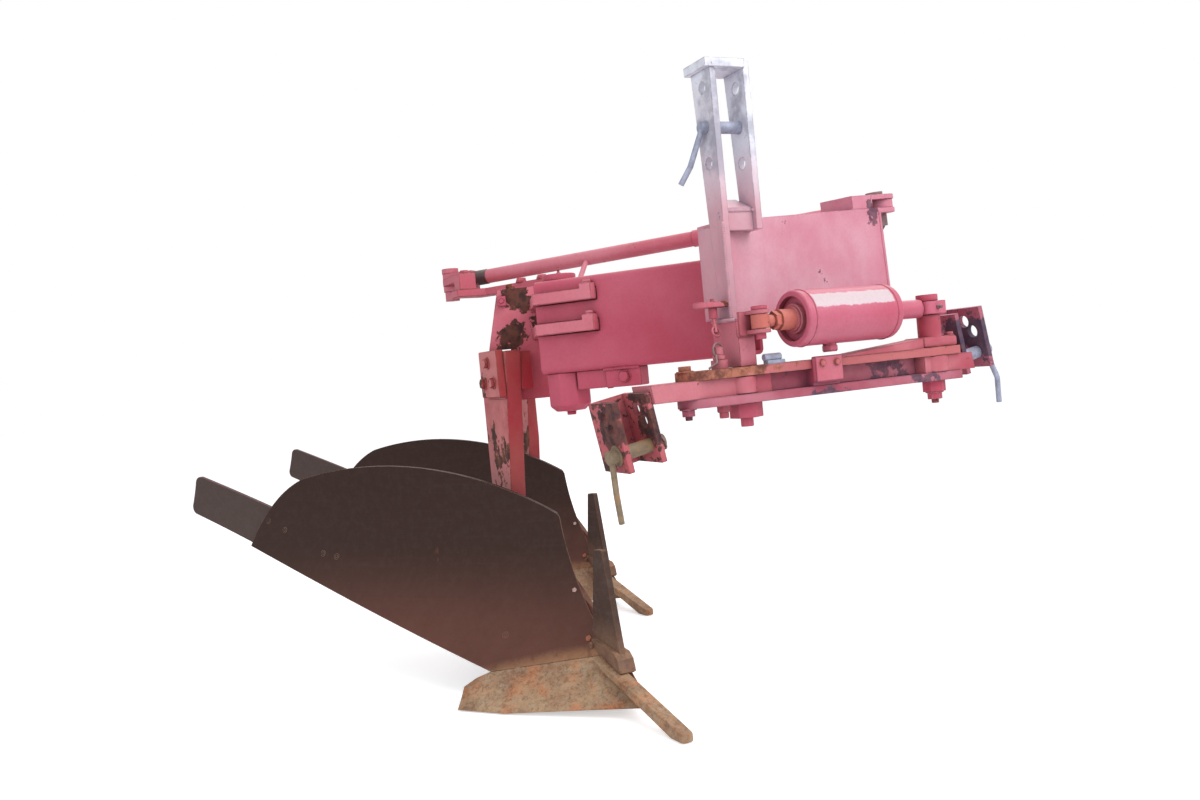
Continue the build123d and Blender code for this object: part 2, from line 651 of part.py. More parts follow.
def add_headstock():
    """The headstock box with the ear that holds the stay."""
    outer = slab((-HEAD_DEPTH, 0), (-HEAD_DEPTH, HEAD_LENGTH), (0, HEAD_HEIGHT))
    inner = slab(
        (HEAD_WALL - HEAD_DEPTH, -HEAD_WALL),
        (HEAD_DEPTH / 2, HEAD_LENGTH - HEAD_WALL),
        (HEAD_WALL, HEAD_HEIGHT - HEAD_WALL),
    )
    pin_y = HEAD_LENGTH + HEAD_EAR_REACH
    pin_x = -HEAD_DEPTH / 2
    hole = post(pin_x, pin_y, 0, FAR, STAY_PIN_RADIUS + PIN_FIT)
    half = HEAD_EAR_WIDTH / 2

    def ear(root_y, z):
        shape = Pos(pin_x, (root_y + pin_y) / 2) * Rectangle(2 * half, pin_y - root_y)
        return Pos(0, 0, z) * extrude(shape + Pos(pin_x, pin_y) * Circle(half), HEAD_EAR_PLATE)

    lower = ear(HEAD_LENGTH - 1, HEAD_HEIGHT - HEAD_EAR_PLATE)
    box = HEAD_FRAME * ((outer - inner) + lower - hole)
    bodies["plough"]["headstock_box"] = box & slab((-FAR, FAR), (MAST_RIGHT_Y + MAST_PLATE, FAR), (0, FAR))
    top = HEAD_HEIGHT + HEAD_EAR_GAP
    packing = slab(
        (pin_x - half, pin_x + half), (HEAD_LENGTH - HEAD_EAR_ROOT, HEAD_LENGTH - 24), (HEAD_HEIGHT, top)
    )
    upper = ear(HEAD_LENGTH - HEAD_EAR_ROOT, top) + packing
    bodies["plough"]["headstock_ear"] = HEAD_FRAME * (upper - hole)
    pin = post(pin_x, pin_y, HEAD_HEIGHT - HEAD_EAR_PLATE - 38, top + HEAD_EAR_PLATE, STAY_PIN_RADIUS)
    head = post(pin_x, pin_y, top + HEAD_EAR_PLATE, top + HEAD_EAR_PLATE + 10, 21)
    nut_top = HEAD_HEIGHT - HEAD_EAR_PLATE
    nut = Pos(pin_x, pin_y, nut_top - 30) * extrude(RegularPolygon(28, 6), 30)
    bodies["plough"]["headstock_stay_pin"] = HEAD_FRAME * (pin + head + nut)


def add_long_stay():
    """The turnbuckle stay: an eye, a fork, and the tube that both screw into."""
    pin_y = HEAD_LENGTH + HEAD_EAR_REACH
    eye_at = (HEAD_FRAME * Pos(-HEAD_DEPTH / 2, pin_y, HEAD_HEIGHT + HEAD_EAR_GAP / 2)).position
    fork_at = Vector(*STAY_ARM_AT, ARM_LUG_BOTTOM + ARM_LUG_PLATE / 2)
    along = (fork_at - eye_at).normalized()
    span = (fork_at - eye_at).length

    eye_frame = HEAD_FRAME * Pos(-HEAD_DEPTH / 2, pin_y, HEAD_HEIGHT + HEAD_EAR_GAP / 2)
    eye = eye_frame * Cylinder(STAY_EYE_RADIUS, STAY_EYE_THICKNESS)
    thread_end = eye_at + along * STAY_FRONT_THREAD
    neck = bar_between(eye_at + along * (STAY_EYE_RADIUS - 6), thread_end, STAY_NECK_RADIUS)
    thread_from = eye_at + along * (HEAD_EAR_WIDTH / 2 + STAY_THREAD_FROM_EAR)
    eye = eye + neck + bar_between(thread_from, thread_end, STAY_THREAD_RADIUS)
    bodies["plough"]["stay_front_eye"] = eye - eye_frame * Cylinder(STAY_PIN_RADIUS + PIN_FIT, 60)

    half = FORK_WIDTH / 2
    prong_z = ARM_LUG_PLATE / 2 + SEAT_GAP
    turn = degrees(atan2(-along.Y, -along.X))
    fork_frame = turned(fork_at.X, fork_at.Y, fork_at.Z, turn)
    prongs = Part()
    for low in (prong_z, -prong_z - FORK_PRONG):
        shape = polygon((0, -half), (FORK_LENGTH, -half), (FORK_LENGTH, half), (0, half)) + Circle(half)
        prongs = prongs + Pos(0, 0, low) * extrude(shape, FORK_PRONG)
    bridge = slab((FORK_THROAT, FORK_LENGTH), (-half, half), (-prong_z - FORK_PRONG, prong_z + FORK_PRONG))
    fork = fork_frame * (prongs + bridge - Cylinder(STAY_PIN_RADIUS + PIN_FIT, 120))
    rear_thread_end = fork_at - along * (FORK_LENGTH + STAY_REAR_THREAD)
    fork = fork + bar_between(fork_at - along * (FORK_LENGTH - 4), rear_thread_end, STAY_THREAD_RADIUS)
    bodies["plough"]["stay_rear_fork"] = fork

    tube_start = eye_at + along * STAY_TUBE_START
    tube_end = fork_at - along * (FORK_LENGTH + STAY_TUBE_END_GAP)
    tube = bar_between(tube_start, tube_end, STAY_TUBE_RADIUS)
    bore = STAY_THREAD_RADIUS + SEAT_GAP
    bore_front = bar_between(tube_start - along, eye_at + along * (STAY_FRONT_THREAD + 1), bore)
    bore_rear = bar_between(tube_end + along, rear_thread_end - along, bore)
    bodies["plough"]["stay_tube"] = tube - bore_front - bore_rear

    top = prong_z + FORK_PRONG
    bolt = Cylinder(STAY_PIN_RADIUS, 2 * top)
    bolt = bolt + post(0, 0, top, top + 14, 24) + Pos(0, 0, -top - 26) * extrude(RegularPolygon(23, 6), 26)
    bodies["plough"]["stay_fork_bolt"] = fork_frame * bolt


def add_mast():
    """The mast, welded from two plates, a cap and a packing at its foot, and the top link pin."""
    left_y = MAST_RIGHT_Y + MAST_PLATE + MAST_GAP
    pin_x = MAST_FRONT - MAST_PIN_FROM_FRONT
    pin_z = MAST_TOP - MAST_PIN_DROP
    box_top = HEAD_BOTTOM + HEAD_HEIGHT
    lean = (MAST_TOP_WIDTH - MAST_FOOT_WIDTH) / (MAST_TOP - MAST_FOOT)

    def plate(y, foot):
        points = [
            (MAST_FRONT, foot), (MAST_FRONT, MAST_TOP),
            (MAST_FRONT - MAST_TOP_WIDTH, MAST_TOP),
            (MAST_FRONT - MAST_FOOT_WIDTH - lean * (foot - MAST_FOOT), foot),
        ]
        shape = side_profile(points, y, y + MAST_PLATE)
        for drop in (MAST_PIN_DROP,) + MAST_HOLE_DROPS:
            hole = across_bar(pin_x, y - 1, y + MAST_PLATE + 1, MAST_TOP - drop, MAST_PIN_RADIUS + PIN_FIT)
            shape = shape - hole
        return shape

    head_space = HEAD_FRAME * slab((-HEAD_DEPTH, 0), (-HEAD_DEPTH, HEAD_LENGTH), (-FAR, HEAD_HEIGHT))
    left = largest(plate(left_y, box_top - 20) - head_space)
    gusset = side_profile(
        [(MAST_FRONT - 12, box_top - 20), (MAST_FRONT - 12, box_top + MAST_GUSSET_HEIGHT - 16),
         (MAST_FRONT - 70, box_top + MAST_GUSSET_HEIGHT + 10), (MAST_FRONT - 80, box_top - 20)],
        MAST_RIGHT_Y + MAST_PLATE, left_y,
    )
    gusset = largest(gusset - head_space)
    cap_x = (MAST_FRONT - MAST_TOP_WIDTH - 6, MAST_FRONT + 4)
    cap_z = MAST_TOP - MAST_CAP_DROP
    cap = slab(cap_x, (MAST_RIGHT_Y - 12, left_y + 2), (cap_z, cap_z + MAST_CAP_PLATE))
    bodies["plough"]["mast"] = plate(MAST_RIGHT_Y, MAST_FOOT) + gusset + left + cap

    outer = MAST_RIGHT_Y - 14
    nut_y = left_y + MAST_PLATE
    pin = across_bar(pin_x, outer, nut_y + MAST_NUT_HEIGHT + 4, pin_z, MAST_PIN_RADIUS)
    nut = extrude(Plane.XZ * RegularPolygon(MAST_NUT_RADIUS, 6), MAST_NUT_HEIGHT)
    pin = pin + Pos(pin_x, nut_y + MAST_NUT_HEIGHT, pin_z) * nut
    knee = Vector(pin_x - 14, outer - 22, pin_z - 77)
    handle = bar_between((pin_x, outer + 6, pin_z), knee, HANDLE_RADIUS)
    handle = handle + bar_between(knee, knee + Vector(-14, -18, -34), HANDLE_RADIUS)
    bodies["plough"]["top_link_pin"] = pin + handle + Pos(knee) * Sphere(HANDLE_RADIUS)


def add_column():
    """The column under the mast, its pivot pin and the bracket of the cylinder's rod."""
    x, y = PIVOT_AT
    column_y = (COLUMN_RIGHT_Y, COLUMN_RIGHT_Y + COLUMN_WIDTH)
    column = slab((COLUMN_BACK, COLUMN_FRONT), column_y, (BAR_TOP + TURNING_GAP, MAST_FOOT))
    head_space = HEAD_FRAME * slab((-HEAD_DEPTH, 0), (-HEAD_DEPTH, HEAD_LENGTH), (0, HEAD_HEIGHT))
    bodies["plough"]["column"] = largest(column - head_space)
    nut_top = BAR_LOWER - TURNING_GAP
    pin = post(x, y, nut_top - PIVOT_NUT_HEIGHT, BAR_TOP + TURNING_GAP, PIVOT_RADIUS)
    nut_low = nut_top - PIVOT_NUT_HEIGHT
    nut = Pos(x, y, nut_low) * extrude(RegularPolygon(PIVOT_NUT_RADIUS, 6), PIVOT_NUT_HEIGHT)
    bodies["plough"]["pivot_pin"] = pin + nut + post(x, y, nut_low - 18, nut_low, 13)

    rod_x, rod_y = ROD_PIN_AT
    half = ROD_EYE_THICKNESS / 2 + TURNING_GAP
    ear_end = ROD_PIN_RADIUS + BRACKET_RIM
    z0, z1 = CYLINDER_Z - half, CYLINDER_Z + half
    back = slab(
        (COLUMN_FRONT, COLUMN_FRONT + BRACKET_PLATE),
        (COLUMN_RIGHT_Y, rod_y + ear_end - ROD_PIN_RADIUS),
        (z0 - 10, z1 + BRACKET_TOP_PLATE),
    )
    bracket = back
    for low in (z0 - BRACKET_TOP_PLATE, z1):
        high = low + BRACKET_TOP_PLATE
        ear = slab((COLUMN_FRONT, rod_x), (rod_y - ear_end, rod_y + ear_end), (low, high))
        bracket = bracket + ear + post(rod_x, rod_y, low, high, ear_end)
    bracket = bracket - post(rod_x, rod_y, 0, FAR, ROD_PIN_RADIUS + PIN_FIT)
    bodies["plough"]["rod_bracket"] = bracket
    pin_top = z1 + BRACKET_TOP_PLATE
    pin = post(rod_x, rod_y, z0 - BRACKET_TOP_PLATE - 12, pin_top, ROD_PIN_RADIUS)
    bodies["plough"]["rod_pin"] = pin + post(rod_x, rod_y, pin_top, pin_top + 8, 16)


def bar_outline():
    """The plan of the hitch bar's plates, with a round right end."""
    x = PIVOT_AT[0]
    shape = polygon(
        (x - BAR_HALF_WIDTH, BAR_RIGHT_END), (x + BAR_HALF_WIDTH, BAR_RIGHT_END),
        (x + BAR_HALF_WIDTH, POST_AT[1] - 70), (x + BAR_HALF_WIDTH + 14, POST_AT[1] - 40),
        (x + BAR_HALF_WIDTH + 14, BAR_LEFT_END), (x - BAR_HALF_WIDTH, BAR_LEFT_END),
    )
    return shape + Pos(x, BAR_RIGHT_END) * Circle(BAR_HALF_WIDTH)


def clevis(roll_place, arm):
    """Two plates joined at the back, rolled about the travel direction, and the arm that meets them."""
    half = CLEVIS_GAP / 2
    outer = half + CLEVIS_PLATE
    frame = Pos(*roll_place) * Rot(CLEVIS_ROLL, 0, 0)
    height = CLEVIS_HEIGHT / 2
    body = slab((CLEVIS_BACK, CLEVIS_BACK + CLEVIS_PLATE), (-half, half), (-height, height))
    for y in (-half - CLEVIS_PLATE, half):
        body = body + slab((CLEVIS_BACK, CLEVIS_FRONT), (y, y + CLEVIS_PLATE), (-height, height))
    for x, z in (LINK_PIN_AT,) + LINK_HOLES_AT:
        body = body - across_bar(x, -outer - 1, outer + 1, z, LINK_PIN_RADIUS + PIN_FIT)
    space = frame * slab((CLEVIS_BACK - 60, CLEVIS_FRONT + 60), (-outer, outer), (-300, 300))
    x, z = LINK_PIN_AT
    pocket = frame * across_bar(x, -outer - LINK_PIN_END, outer + LINK_PIN_END, z, LINK_PIN_RADIUS + 4)
    return frame * body, largest(arm - space - pocket)


def link_pin(roll_place, outer_side):
    """A lower link pin with its head and bent handle on the outer side."""
    half = CLEVIS_GAP / 2 + CLEVIS_PLATE
    x, z = LINK_PIN_AT
    frame = Pos(*roll_place) * Rot(CLEVIS_ROLL, 0, 0)
    head = outer_side * (half + LINK_PIN_HEAD)
    tail = -outer_side * (half + LINK_PIN_END - 8)
    pin = bar_between((x, head, z), (x, tail, z), LINK_PIN_RADIUS)
    at = outer_side * (half + 14)
    knee = Vector(x + 6, at + outer_side * 12, z - 70)
    handle = bar_between((x, at, z), knee, HANDLE_RADIUS) + Pos(knee) * Sphere(HANDLE_RADIUS)
    handle = handle + bar_between(knee, knee + Vector(-10, 0, -58), HANDLE_RADIUS)
    return frame * (pin + handle)


def add_hitch_bar():
    """The swinging bar: its plates, arms, spacer, post and the two lower link clevises."""
    x, y = PIVOT_AT
    holes = post(x, y, 0, FAR, PIVOT_RADIUS + PIN_FIT)
    post_hole = post(*POST_AT, 0, FAR, POST_PIN_RADIUS + PIN_FIT)
    half = SPACER_SIZE / 2
    upper = Pos(0, 0, BAR_UPPER) * extrude(bar_outline(), BAR_PLATE)
    bodies["hitch_bar"]["hitch_bar_upper_plate"] = upper - holes - post_hole
    lower = Pos(0, 0, BAR_LOWER) * extrude(bar_outline(), BAR_PLATE)
    bodies["hitch_bar"]["hitch_bar_lower_plate"] = lower - holes - post_hole

    right_x = (x - ARM_HALF_WIDTH, x + ARM_HALF_WIDTH)
    right_arm_end = y + ARM_HALF_WIDTH
    right_arm = slab(right_x, (CLEVIS_RIGHT[1], right_arm_end), (BAR_MIDDLE, BAR_UPPER)) - holes
    left_arm_end = POST_AT[1] - 45
    left_x = (x - ARM_HALF_WIDTH, x + ARM_HALF_WIDTH + 20)
    left_arm = slab(left_x, (left_arm_end, CLEVIS_LEFT[1]), (BAR_MIDDLE, BAR_UPPER)) - post_hole
    for side, place, arm in (("right", CLEVIS_RIGHT, right_arm), ("left", CLEVIS_LEFT, left_arm)):
        plates, arm = clevis(place, arm)
        bodies["hitch_bar"][f"{side}_clevis"] = plates
        bodies["hitch_bar"][f"{side}_arm"] = arm
    bodies["hitch_bar"]["right_link_pin"] = link_pin(CLEVIS_RIGHT, -1)
    bodies["hitch_bar"]["left_link_pin"] = link_pin(CLEVIS_LEFT, 1)

    front = x + BAR_HALF_WIDTH
    web = slab((x - WEB_HALF_WIDTH, x + WEB_HALF_WIDTH), (right_arm_end, left_arm_end), (BAR_MIDDLE, BAR_UPPER))
    spacer_y = (SPACER_AT - half, SPACER_AT + half)
    pad_top = BAR_TOP + PAD_ABOVE_BAR
    spacer = web + slab((front - SPACER_SIZE, front), spacer_y, (BAR_MIDDLE, BAR_UPPER))
    spacer = spacer + slab((front, front + PAD_DEPTH), spacer_y, (pad_top - PAD_HEIGHT, pad_top))
    bodies["hitch_bar"]["bar_spacer"] = spacer

    eye_low = CYLINDER_Z - BASE_EYE_THICKNESS / 2
    eye_high = CYLINDER_Z + BASE_EYE_THICKNESS / 2
    tube = post(*POST_AT, BAR_TOP, eye_low - TURNING_GAP, POST_RADIUS) - post_hole
    bodies["hitch_bar"]["left_post"] = tube
    pin = post(*POST_AT, BAR_LOWER - 40, eye_high + TURNING_GAP, POST_PIN_RADIUS)
    pin = pin + post(*POST_AT, eye_high + TURNING_GAP, eye_high + TURNING_GAP + POST_HEAD_HEIGHT, 23)
    pin = pin + Pos(*POST_AT, BAR_LOWER - 24) * extrude(RegularPolygon(25, 6), 24)
    bodies["hitch_bar"]["left_post_pin"] = pin


ROD_TO_POST = (POST_AT[0] - ROD_PIN_AT[0], POST_AT[1] - ROD_PIN_AT[1])
CYLINDER_SPAN = hypot(*ROD_TO_POST)
CYLINDER_FRAME = turned(*ROD_PIN_AT, CYLINDER_Z, degrees(atan2(ROD_TO_POST[1], ROD_TO_POST[0])))


def add_cylinder():
    """The hydraulic cylinder: the rod with its eye, and the barrel with its base eye."""
    def along(x0, x1, radius):
        return Pos((x0 + x1) / 2, 0, 0) * Rot(0, 90, 0) * Cylinder(radius, x1 - x0)

    barrel_end = BARREL_START + BARREL_LENGTH
    eye = Cylinder(ROD_EYE_RADIUS, ROD_EYE_THICKNESS)
    rod_end = BARREL_START + ROD_INSIDE
    neck = along(ROD_EYE_RADIUS - 6, ROD_START, ROD_NECK_RADIUS)
    nut_end = ROD_START + ROD_NUT_LENGTH
    nut = Pos(ROD_START, 0, 0) * Rot(0, 90, 0) * extrude(RegularPolygon(ROD_NUT_RADIUS, 6), ROD_NUT_LENGTH)
    rod = eye + neck + nut + along(nut_end, rod_end, ROD_RADIUS)
    rod = rod + along(rod_end, rod_end + PISTON_LENGTH, BARREL_BORE - PIN_FIT)
    bore = Cylinder(ROD_PIN_RADIUS + ROD_EYE_PLAY, ROD_EYE_THICKNESS + 2)
    bodies["rod"]["cylinder_rod"] = CYLINDER_FRAME * (rod - bore)
    barrel = along(BARREL_START, barrel_end, BARREL_RADIUS)
    barrel = fillet(barrel.edges().filter_by(GeomType.CIRCLE), 5)
    barrel = barrel - along(BARREL_START + GLAND_DEPTH + 20, barrel_end - 24, BARREL_BORE)
    barrel = barrel - along(BARREL_START - 1, BARREL_START + GLAND_DEPTH, BARREL_RADIUS - 12)
    barrel = barrel - along(BARREL_START - 1, BARREL_START + 60, ROD_RADIUS + PIN_FIT)
    neck = along(barrel_end - 2, CYLINDER_SPAN - BASE_EYE_RADIUS + 2, NECK_RADIUS)
    base = Box(2 * BASE_EYE_RADIUS, 2 * BASE_EYE_RADIUS, BASE_EYE_THICKNESS)
    base = fillet(base.edges().filter_by(Axis.Z), BASE_EYE_CORNER)
    port = post(PORT_AT, 0, -BARREL_RADIUS - PORT_LENGTH, 6 - BARREL_RADIUS, PORT_RADIUS)
    barrel = barrel + neck + Pos(CYLINDER_SPAN, 0, 0) * base + port
    barrel = barrel - Pos(CYLINDER_SPAN, 0, 0) * Cylinder(POST_PIN_RADIUS + PIN_FIT, 80)
    bodies["barrel"]["cylinder_barrel"] = CYLINDER_FRAME * barrel


add_plough_bodies()
add_carrier()
add_main_beam()
add_headstock()
add_long_stay()
add_mast()
add_column()
add_hitch_bar()
add_cylinder()

# Move the origin to the middle of the footprint on the ground
pieces = [Part() + shape for group in bodies.values() for shape in group.values()]
whole = Compound(children=pieces).bounding_box()
ORIGIN_SHIFT = Vector(-(whole.min.X + whole.max.X) / 2, -(whole.min.Y + whole.max.Y) / 2, -whole.min.Z)

os.makedirs("parts", exist_ok=True)
nodes = {}
for group in bodies.values():
    for name, shape in group.items():
        nodes[name] = Pos(ORIGIN_SHIFT) * shape
        export_step(nodes[name], f"parts/{name}.step")
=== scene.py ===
"""Looks of a two-furrow mounted mouldboard plough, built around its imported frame."""

import json
import logging
import math
from collections.abc import Callable
from dataclasses import dataclass, replace
from enum import Enum
from typing import ClassVar

import bpy
from mathutils import Matrix, Vector

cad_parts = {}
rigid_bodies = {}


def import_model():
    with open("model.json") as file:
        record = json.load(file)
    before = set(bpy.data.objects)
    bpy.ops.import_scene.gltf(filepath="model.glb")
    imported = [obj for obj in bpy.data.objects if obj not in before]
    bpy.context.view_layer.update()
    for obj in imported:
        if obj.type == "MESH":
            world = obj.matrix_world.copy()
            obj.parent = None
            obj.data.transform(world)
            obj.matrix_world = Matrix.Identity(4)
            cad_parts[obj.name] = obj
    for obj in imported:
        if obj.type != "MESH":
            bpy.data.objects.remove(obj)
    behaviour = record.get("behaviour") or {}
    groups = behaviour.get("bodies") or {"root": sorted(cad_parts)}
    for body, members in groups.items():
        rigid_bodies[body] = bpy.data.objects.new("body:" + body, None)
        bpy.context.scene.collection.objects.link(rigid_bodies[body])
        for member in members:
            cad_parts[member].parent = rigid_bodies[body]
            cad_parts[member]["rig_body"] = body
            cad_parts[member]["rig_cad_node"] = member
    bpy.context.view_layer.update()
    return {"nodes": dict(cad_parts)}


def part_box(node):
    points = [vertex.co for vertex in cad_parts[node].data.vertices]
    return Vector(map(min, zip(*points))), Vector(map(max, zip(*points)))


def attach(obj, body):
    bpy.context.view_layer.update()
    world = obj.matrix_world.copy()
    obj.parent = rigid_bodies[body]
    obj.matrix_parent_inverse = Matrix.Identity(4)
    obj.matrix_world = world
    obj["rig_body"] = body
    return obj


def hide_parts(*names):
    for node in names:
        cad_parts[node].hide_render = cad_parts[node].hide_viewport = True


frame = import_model()
log = logging.getLogger("plough")

Socket = bpy.types.NodeSocket
Piece = bpy.types.Object
Place = Callable[[float, float, float], Vector]

# How far the left post's pin stands before and left of the drawing's own origin, in metres.
POST_BEFORE = 0.038
POST_LEFT = 0.662
POST_LOW, POST_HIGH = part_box("left_post_pin")
TIP = Vector((
    (POST_LOW[0] + POST_HIGH[0]) / 2 - POST_BEFORE, (POST_LOW[1] + POST_HIGH[1]) / 2 - POST_LEFT, 0.0
))
# The step from the first plough body to the second.
BODY_STEP = Vector((-0.950, 0.420, 0.0))
# Millimetres in a metre.
MM = 1000
# Edges sharper than this are rounded on CAD copies, on joined shapes and on fasteners, in degrees.
CAD_EDGE = 32.0
SHAPE_EDGE = 35.0
FASTENER_EDGE = 30.0
# Faces that meet at less than this are shaded smooth.
SMOOTH_EDGE = 38
# How near two vertices of a CAD copy merge, in metres, and how flat faces are that become one, in degrees.
MERGE_WITHIN = 0.00002
FLAT_WITHIN = 0.6
# How much further round each next fastener of a row is turned, in degrees.
FASTENER_TURN = 17.0
# The step between a weld's ripples, as a share of the bead's radius.
RIPPLE_STEP = 0.95
# A thread's step in metres, and its root as a share of the crest.
PITCH = 0.0035
THREAD_ROOT = 0.87
# The joint of board and share: its height at a distance back along the board, in metres, and its fall.
JOINT_HEIGHT = 0.110
JOINT_FROM = 0.200
JOINT_FALL = 0.1437
# The stay's threaded ends before and behind its tube, and its turning bar, in metres from its pins.
STAY_FRONT = 0.449
STAY_REAR = 0.101
STAY_BAR = 0.779
STAY_THREAD = 0.0152
# The height in metres below which a soil finish turns its warmer colour.
WARM_LOW = 0.08
# How wide the rim of the pale patch fades, in metres, and a bare spot's radius over that of its full middle.
PATCH_RIM = 0.003
SPOT_RIM = 1.12


def at(x: float, y: float, z: float) -> Vector:
    """A place in metres from millimetres before, left of and above the drawing's origin."""
    return TIP + Vector((x, y, z)) / MM


@dataclass(frozen=True)
class Axes:
    """A sub-assembly's own place and directions, in the drawing's millimetres and degrees."""

    x: float
    y: float
    z: float = 0.0
    turn: float = 0.0
    roll: float = 0.0

    def matrix(self) -> Matrix:
        """The move from these axes to the scene's."""
        turn = Matrix.Rotation(math.radians(self.turn), 4, "Z")
        return Matrix.Translation(at(self.x, self.y, self.z)) @ (
            turn @ Matrix.Rotation(math.radians(self.roll), 4, "X")
        )

    def at(self, x: float, y: float, z: float) -> Vector:
        """A place given in these axes."""
        return self.matrix() @ (Vector((x, y, z)) / MM)

    def way(self, x: float, y: float, z: float) -> Vector:
        """A direction given in these axes."""
        return (self.matrix().to_3x3() @ Vector((x, y, z))).normalized()


WHOLE = Axes(0.0, 0.0)
CARRIER = Axes(-672.0, 19.0, 0.0, -23.85)
BEAM = Axes(-497.0, 30.0, 0.0, 41.0)
HEAD = Axes(-18.0, 180.0, 800.0, 17.4, 4.4)
RIGHT_CLEVIS = Axes(-8.0, -66.0, 600.0, 0.0, 10.0)
LEFT_CLEVIS = Axes(-8.0, 790.0, 711.0, 0.0, 10.0)
CYLINDER = Axes(68.0, 206.0, 790.0, 93.764)


class Board:
    """The rolled surface that board, share and tailpiece share."""

    RADIUS = 520.0
    FOOT = math.radians(28.0)
    TURN = math.radians(37.0)

    @classmethod
    def place(cls, along: float, z: float) -> Vector:
        """The point at a distance back along the board and a height, both in millimetres."""
        middle = cls.RADIUS * math.cos(cls.FOOT)
        away = math.sqrt(cls.RADIUS**2 - (middle - z) ** 2) - cls.RADIUS * math.sin(cls.FOOT)
        x = -along * math.cos(cls.TURN) - away * math.sin(cls.TURN)
        y = -along * math.sin(cls.TURN) + away * math.cos(cls.TURN)
        return at(x, y, z)

    @classmethod
    def facing(cls, z: float) -> Vector:
        """The direction out of the surface at a height, towards the furrow."""
        middle = cls.RADIUS * math.cos(cls.FOOT)
        away = -math.sqrt(cls.RADIUS**2 - (middle - z) ** 2) / cls.RADIUS
        return Vector((-math.sin(cls.TURN) * away, math.cos(cls.TURN) * away, (middle - z) / cls.RADIUS))


def rgb(code: int) -> tuple[float, float, float, float]:
    """A linear colour from the red, green and blue bytes that a picture shows."""
    red, green, blue = (((byte / 255 + 0.055) / 1.055) ** 2.4 for byte in code.to_bytes(3, "big"))
    return red, green, blue, 1.0


# ---------------------------------------------------------------- shader nodes


class Nodes:
    """Adds nodes to the tree of a material, of the world or of a shader group."""

    def __init__(self, tree: bpy.types.NodeTree) -> None:
        """Keeps the tree that the nodes go into."""
        self.tree = tree

    def feed(self, node: bpy.types.Node, values: dict) -> None:
        """Gives a node's inputs, by name or number, a value or the output socket that feeds them."""
        for key, value in values.items():
            if isinstance(value, Socket):
                self.tree.links.new(value, node.inputs[key])
            else:
                node.inputs[key].default_value = value

    def add(self, kind: str, values: dict | None = None, **settings: object) -> bpy.types.Node:
        """Adds one node.

        Args:
            kind: the node's type name, without the ShaderNode before it.
            values: what its inputs are fed with.
            settings: properties of the node itself.

        Returns:
            The new node.
        """
        node = self.tree.nodes.new(f"ShaderNode{kind}")
        for name, value in settings.items():
            setattr(node, name, value)
        self.feed(node, values or {})
        return node

    def math(self, operation: str, *values: object, clamp: bool = True) -> Socket:
        """Works along some numbers or sockets, from the first one on.

        Args:
            operation: the math node's operation.
            values: the numbers and sockets.
            clamp: whether each result is kept between 0 and 1.

        Returns:
            The last result.
        """
        result = values[0]
        for value in values[1:]:
            result = self.add("Math", {0: result, 1: value}, operation=operation, use_clamp=clamp).outputs[0]
        return result

    def times(self, *values: object) -> Socket:
        """The product of some numbers or sockets."""
        return self.math("MULTIPLY", *values)

    def plus(self, *values: object) -> Socket:
        """The sum of some numbers or sockets, at most 1."""
        return self.math("ADD", *values)

    def most(self, *values: object) -> Socket:
        """The largest of some numbers or sockets."""
        return self.math("MAXIMUM", *values)

    def vector(self, operation: str, values: dict) -> bpy.types.Node:
        """A vector math node."""
        return self.add("VectorMath", values, operation=operation)

    def mix(self, factor: object, first: object, second: object) -> Socket:
        """A colour between two colours."""
        return self.add("Mix", {0: factor, 6: first, 7: second}, data_type="RGBA").outputs[2]

    def ramp(
        self, value: object, low: object, high: object, to_low: float = 0.0, to_high: float = 1.0,
        kind: str = "SMOOTHSTEP",
    ) -> Socket:
        """A number moved from one span to another, smoothly or in a straight line, and held at its ends."""
        spans = {"Value": value, "From Min": low, "From Max": high, "To Min": to_low, "To Max": to_high}
        return self.add("MapRange", spans, interpolation_type=kind).outputs["Result"]

    def cut(self, cloud: Socket, cover: Socket, few: float, many: float, soft: object) -> Socket:
        """A noise cut off at a level that a cover of 0 to 1 moves.

        Args:
            cloud: the noise.
            cover: how much of the surface the mask covers.
            few: the level at a cover of 0.
            many: the level at a cover of 1.
            soft: how far above the level the mask is full.

        Returns:
            The mask.
        """
        level = self.ramp(cover, 0.0, 1.0, few, many, "LINEAR")
        return self.ramp(cloud, level, self.math("ADD", level, soft, clamp=False), kind="LINEAR")

    def noise(self, vector: object, scale: object, detail: float = 4.0, rough: float = 0.55) -> Socket:
        """Cloudy noise between 0 and 1 over a place."""
        values = {"Vector": vector, "Scale": scale, "Detail": detail, "Roughness": rough}
        return self.add("TexNoise", values).outputs["Fac"]

    def stretch(self, vector: object, scale: tuple[float, float, float], turn: float = 0.0) -> Socket:
        """A place turned about the vertical and stretched along its axes."""
        turned = self.add("Mapping", {"Vector": vector, "Rotation": (0.0, 0.0, turn)}).outputs[0]
        return self.add("Mapping", {"Vector": turned, "Scale": scale}).outputs[0]

    def part(self, vector: Socket, axis: object) -> Socket:
        """One of a vector's three numbers."""
        return self.add("SeparateXYZ", {0: vector}).outputs[axis]

    def normal(self) -> Socket:
        """The direction that the surface faces."""
        return self.add("NewGeometry").outputs["Normal"]


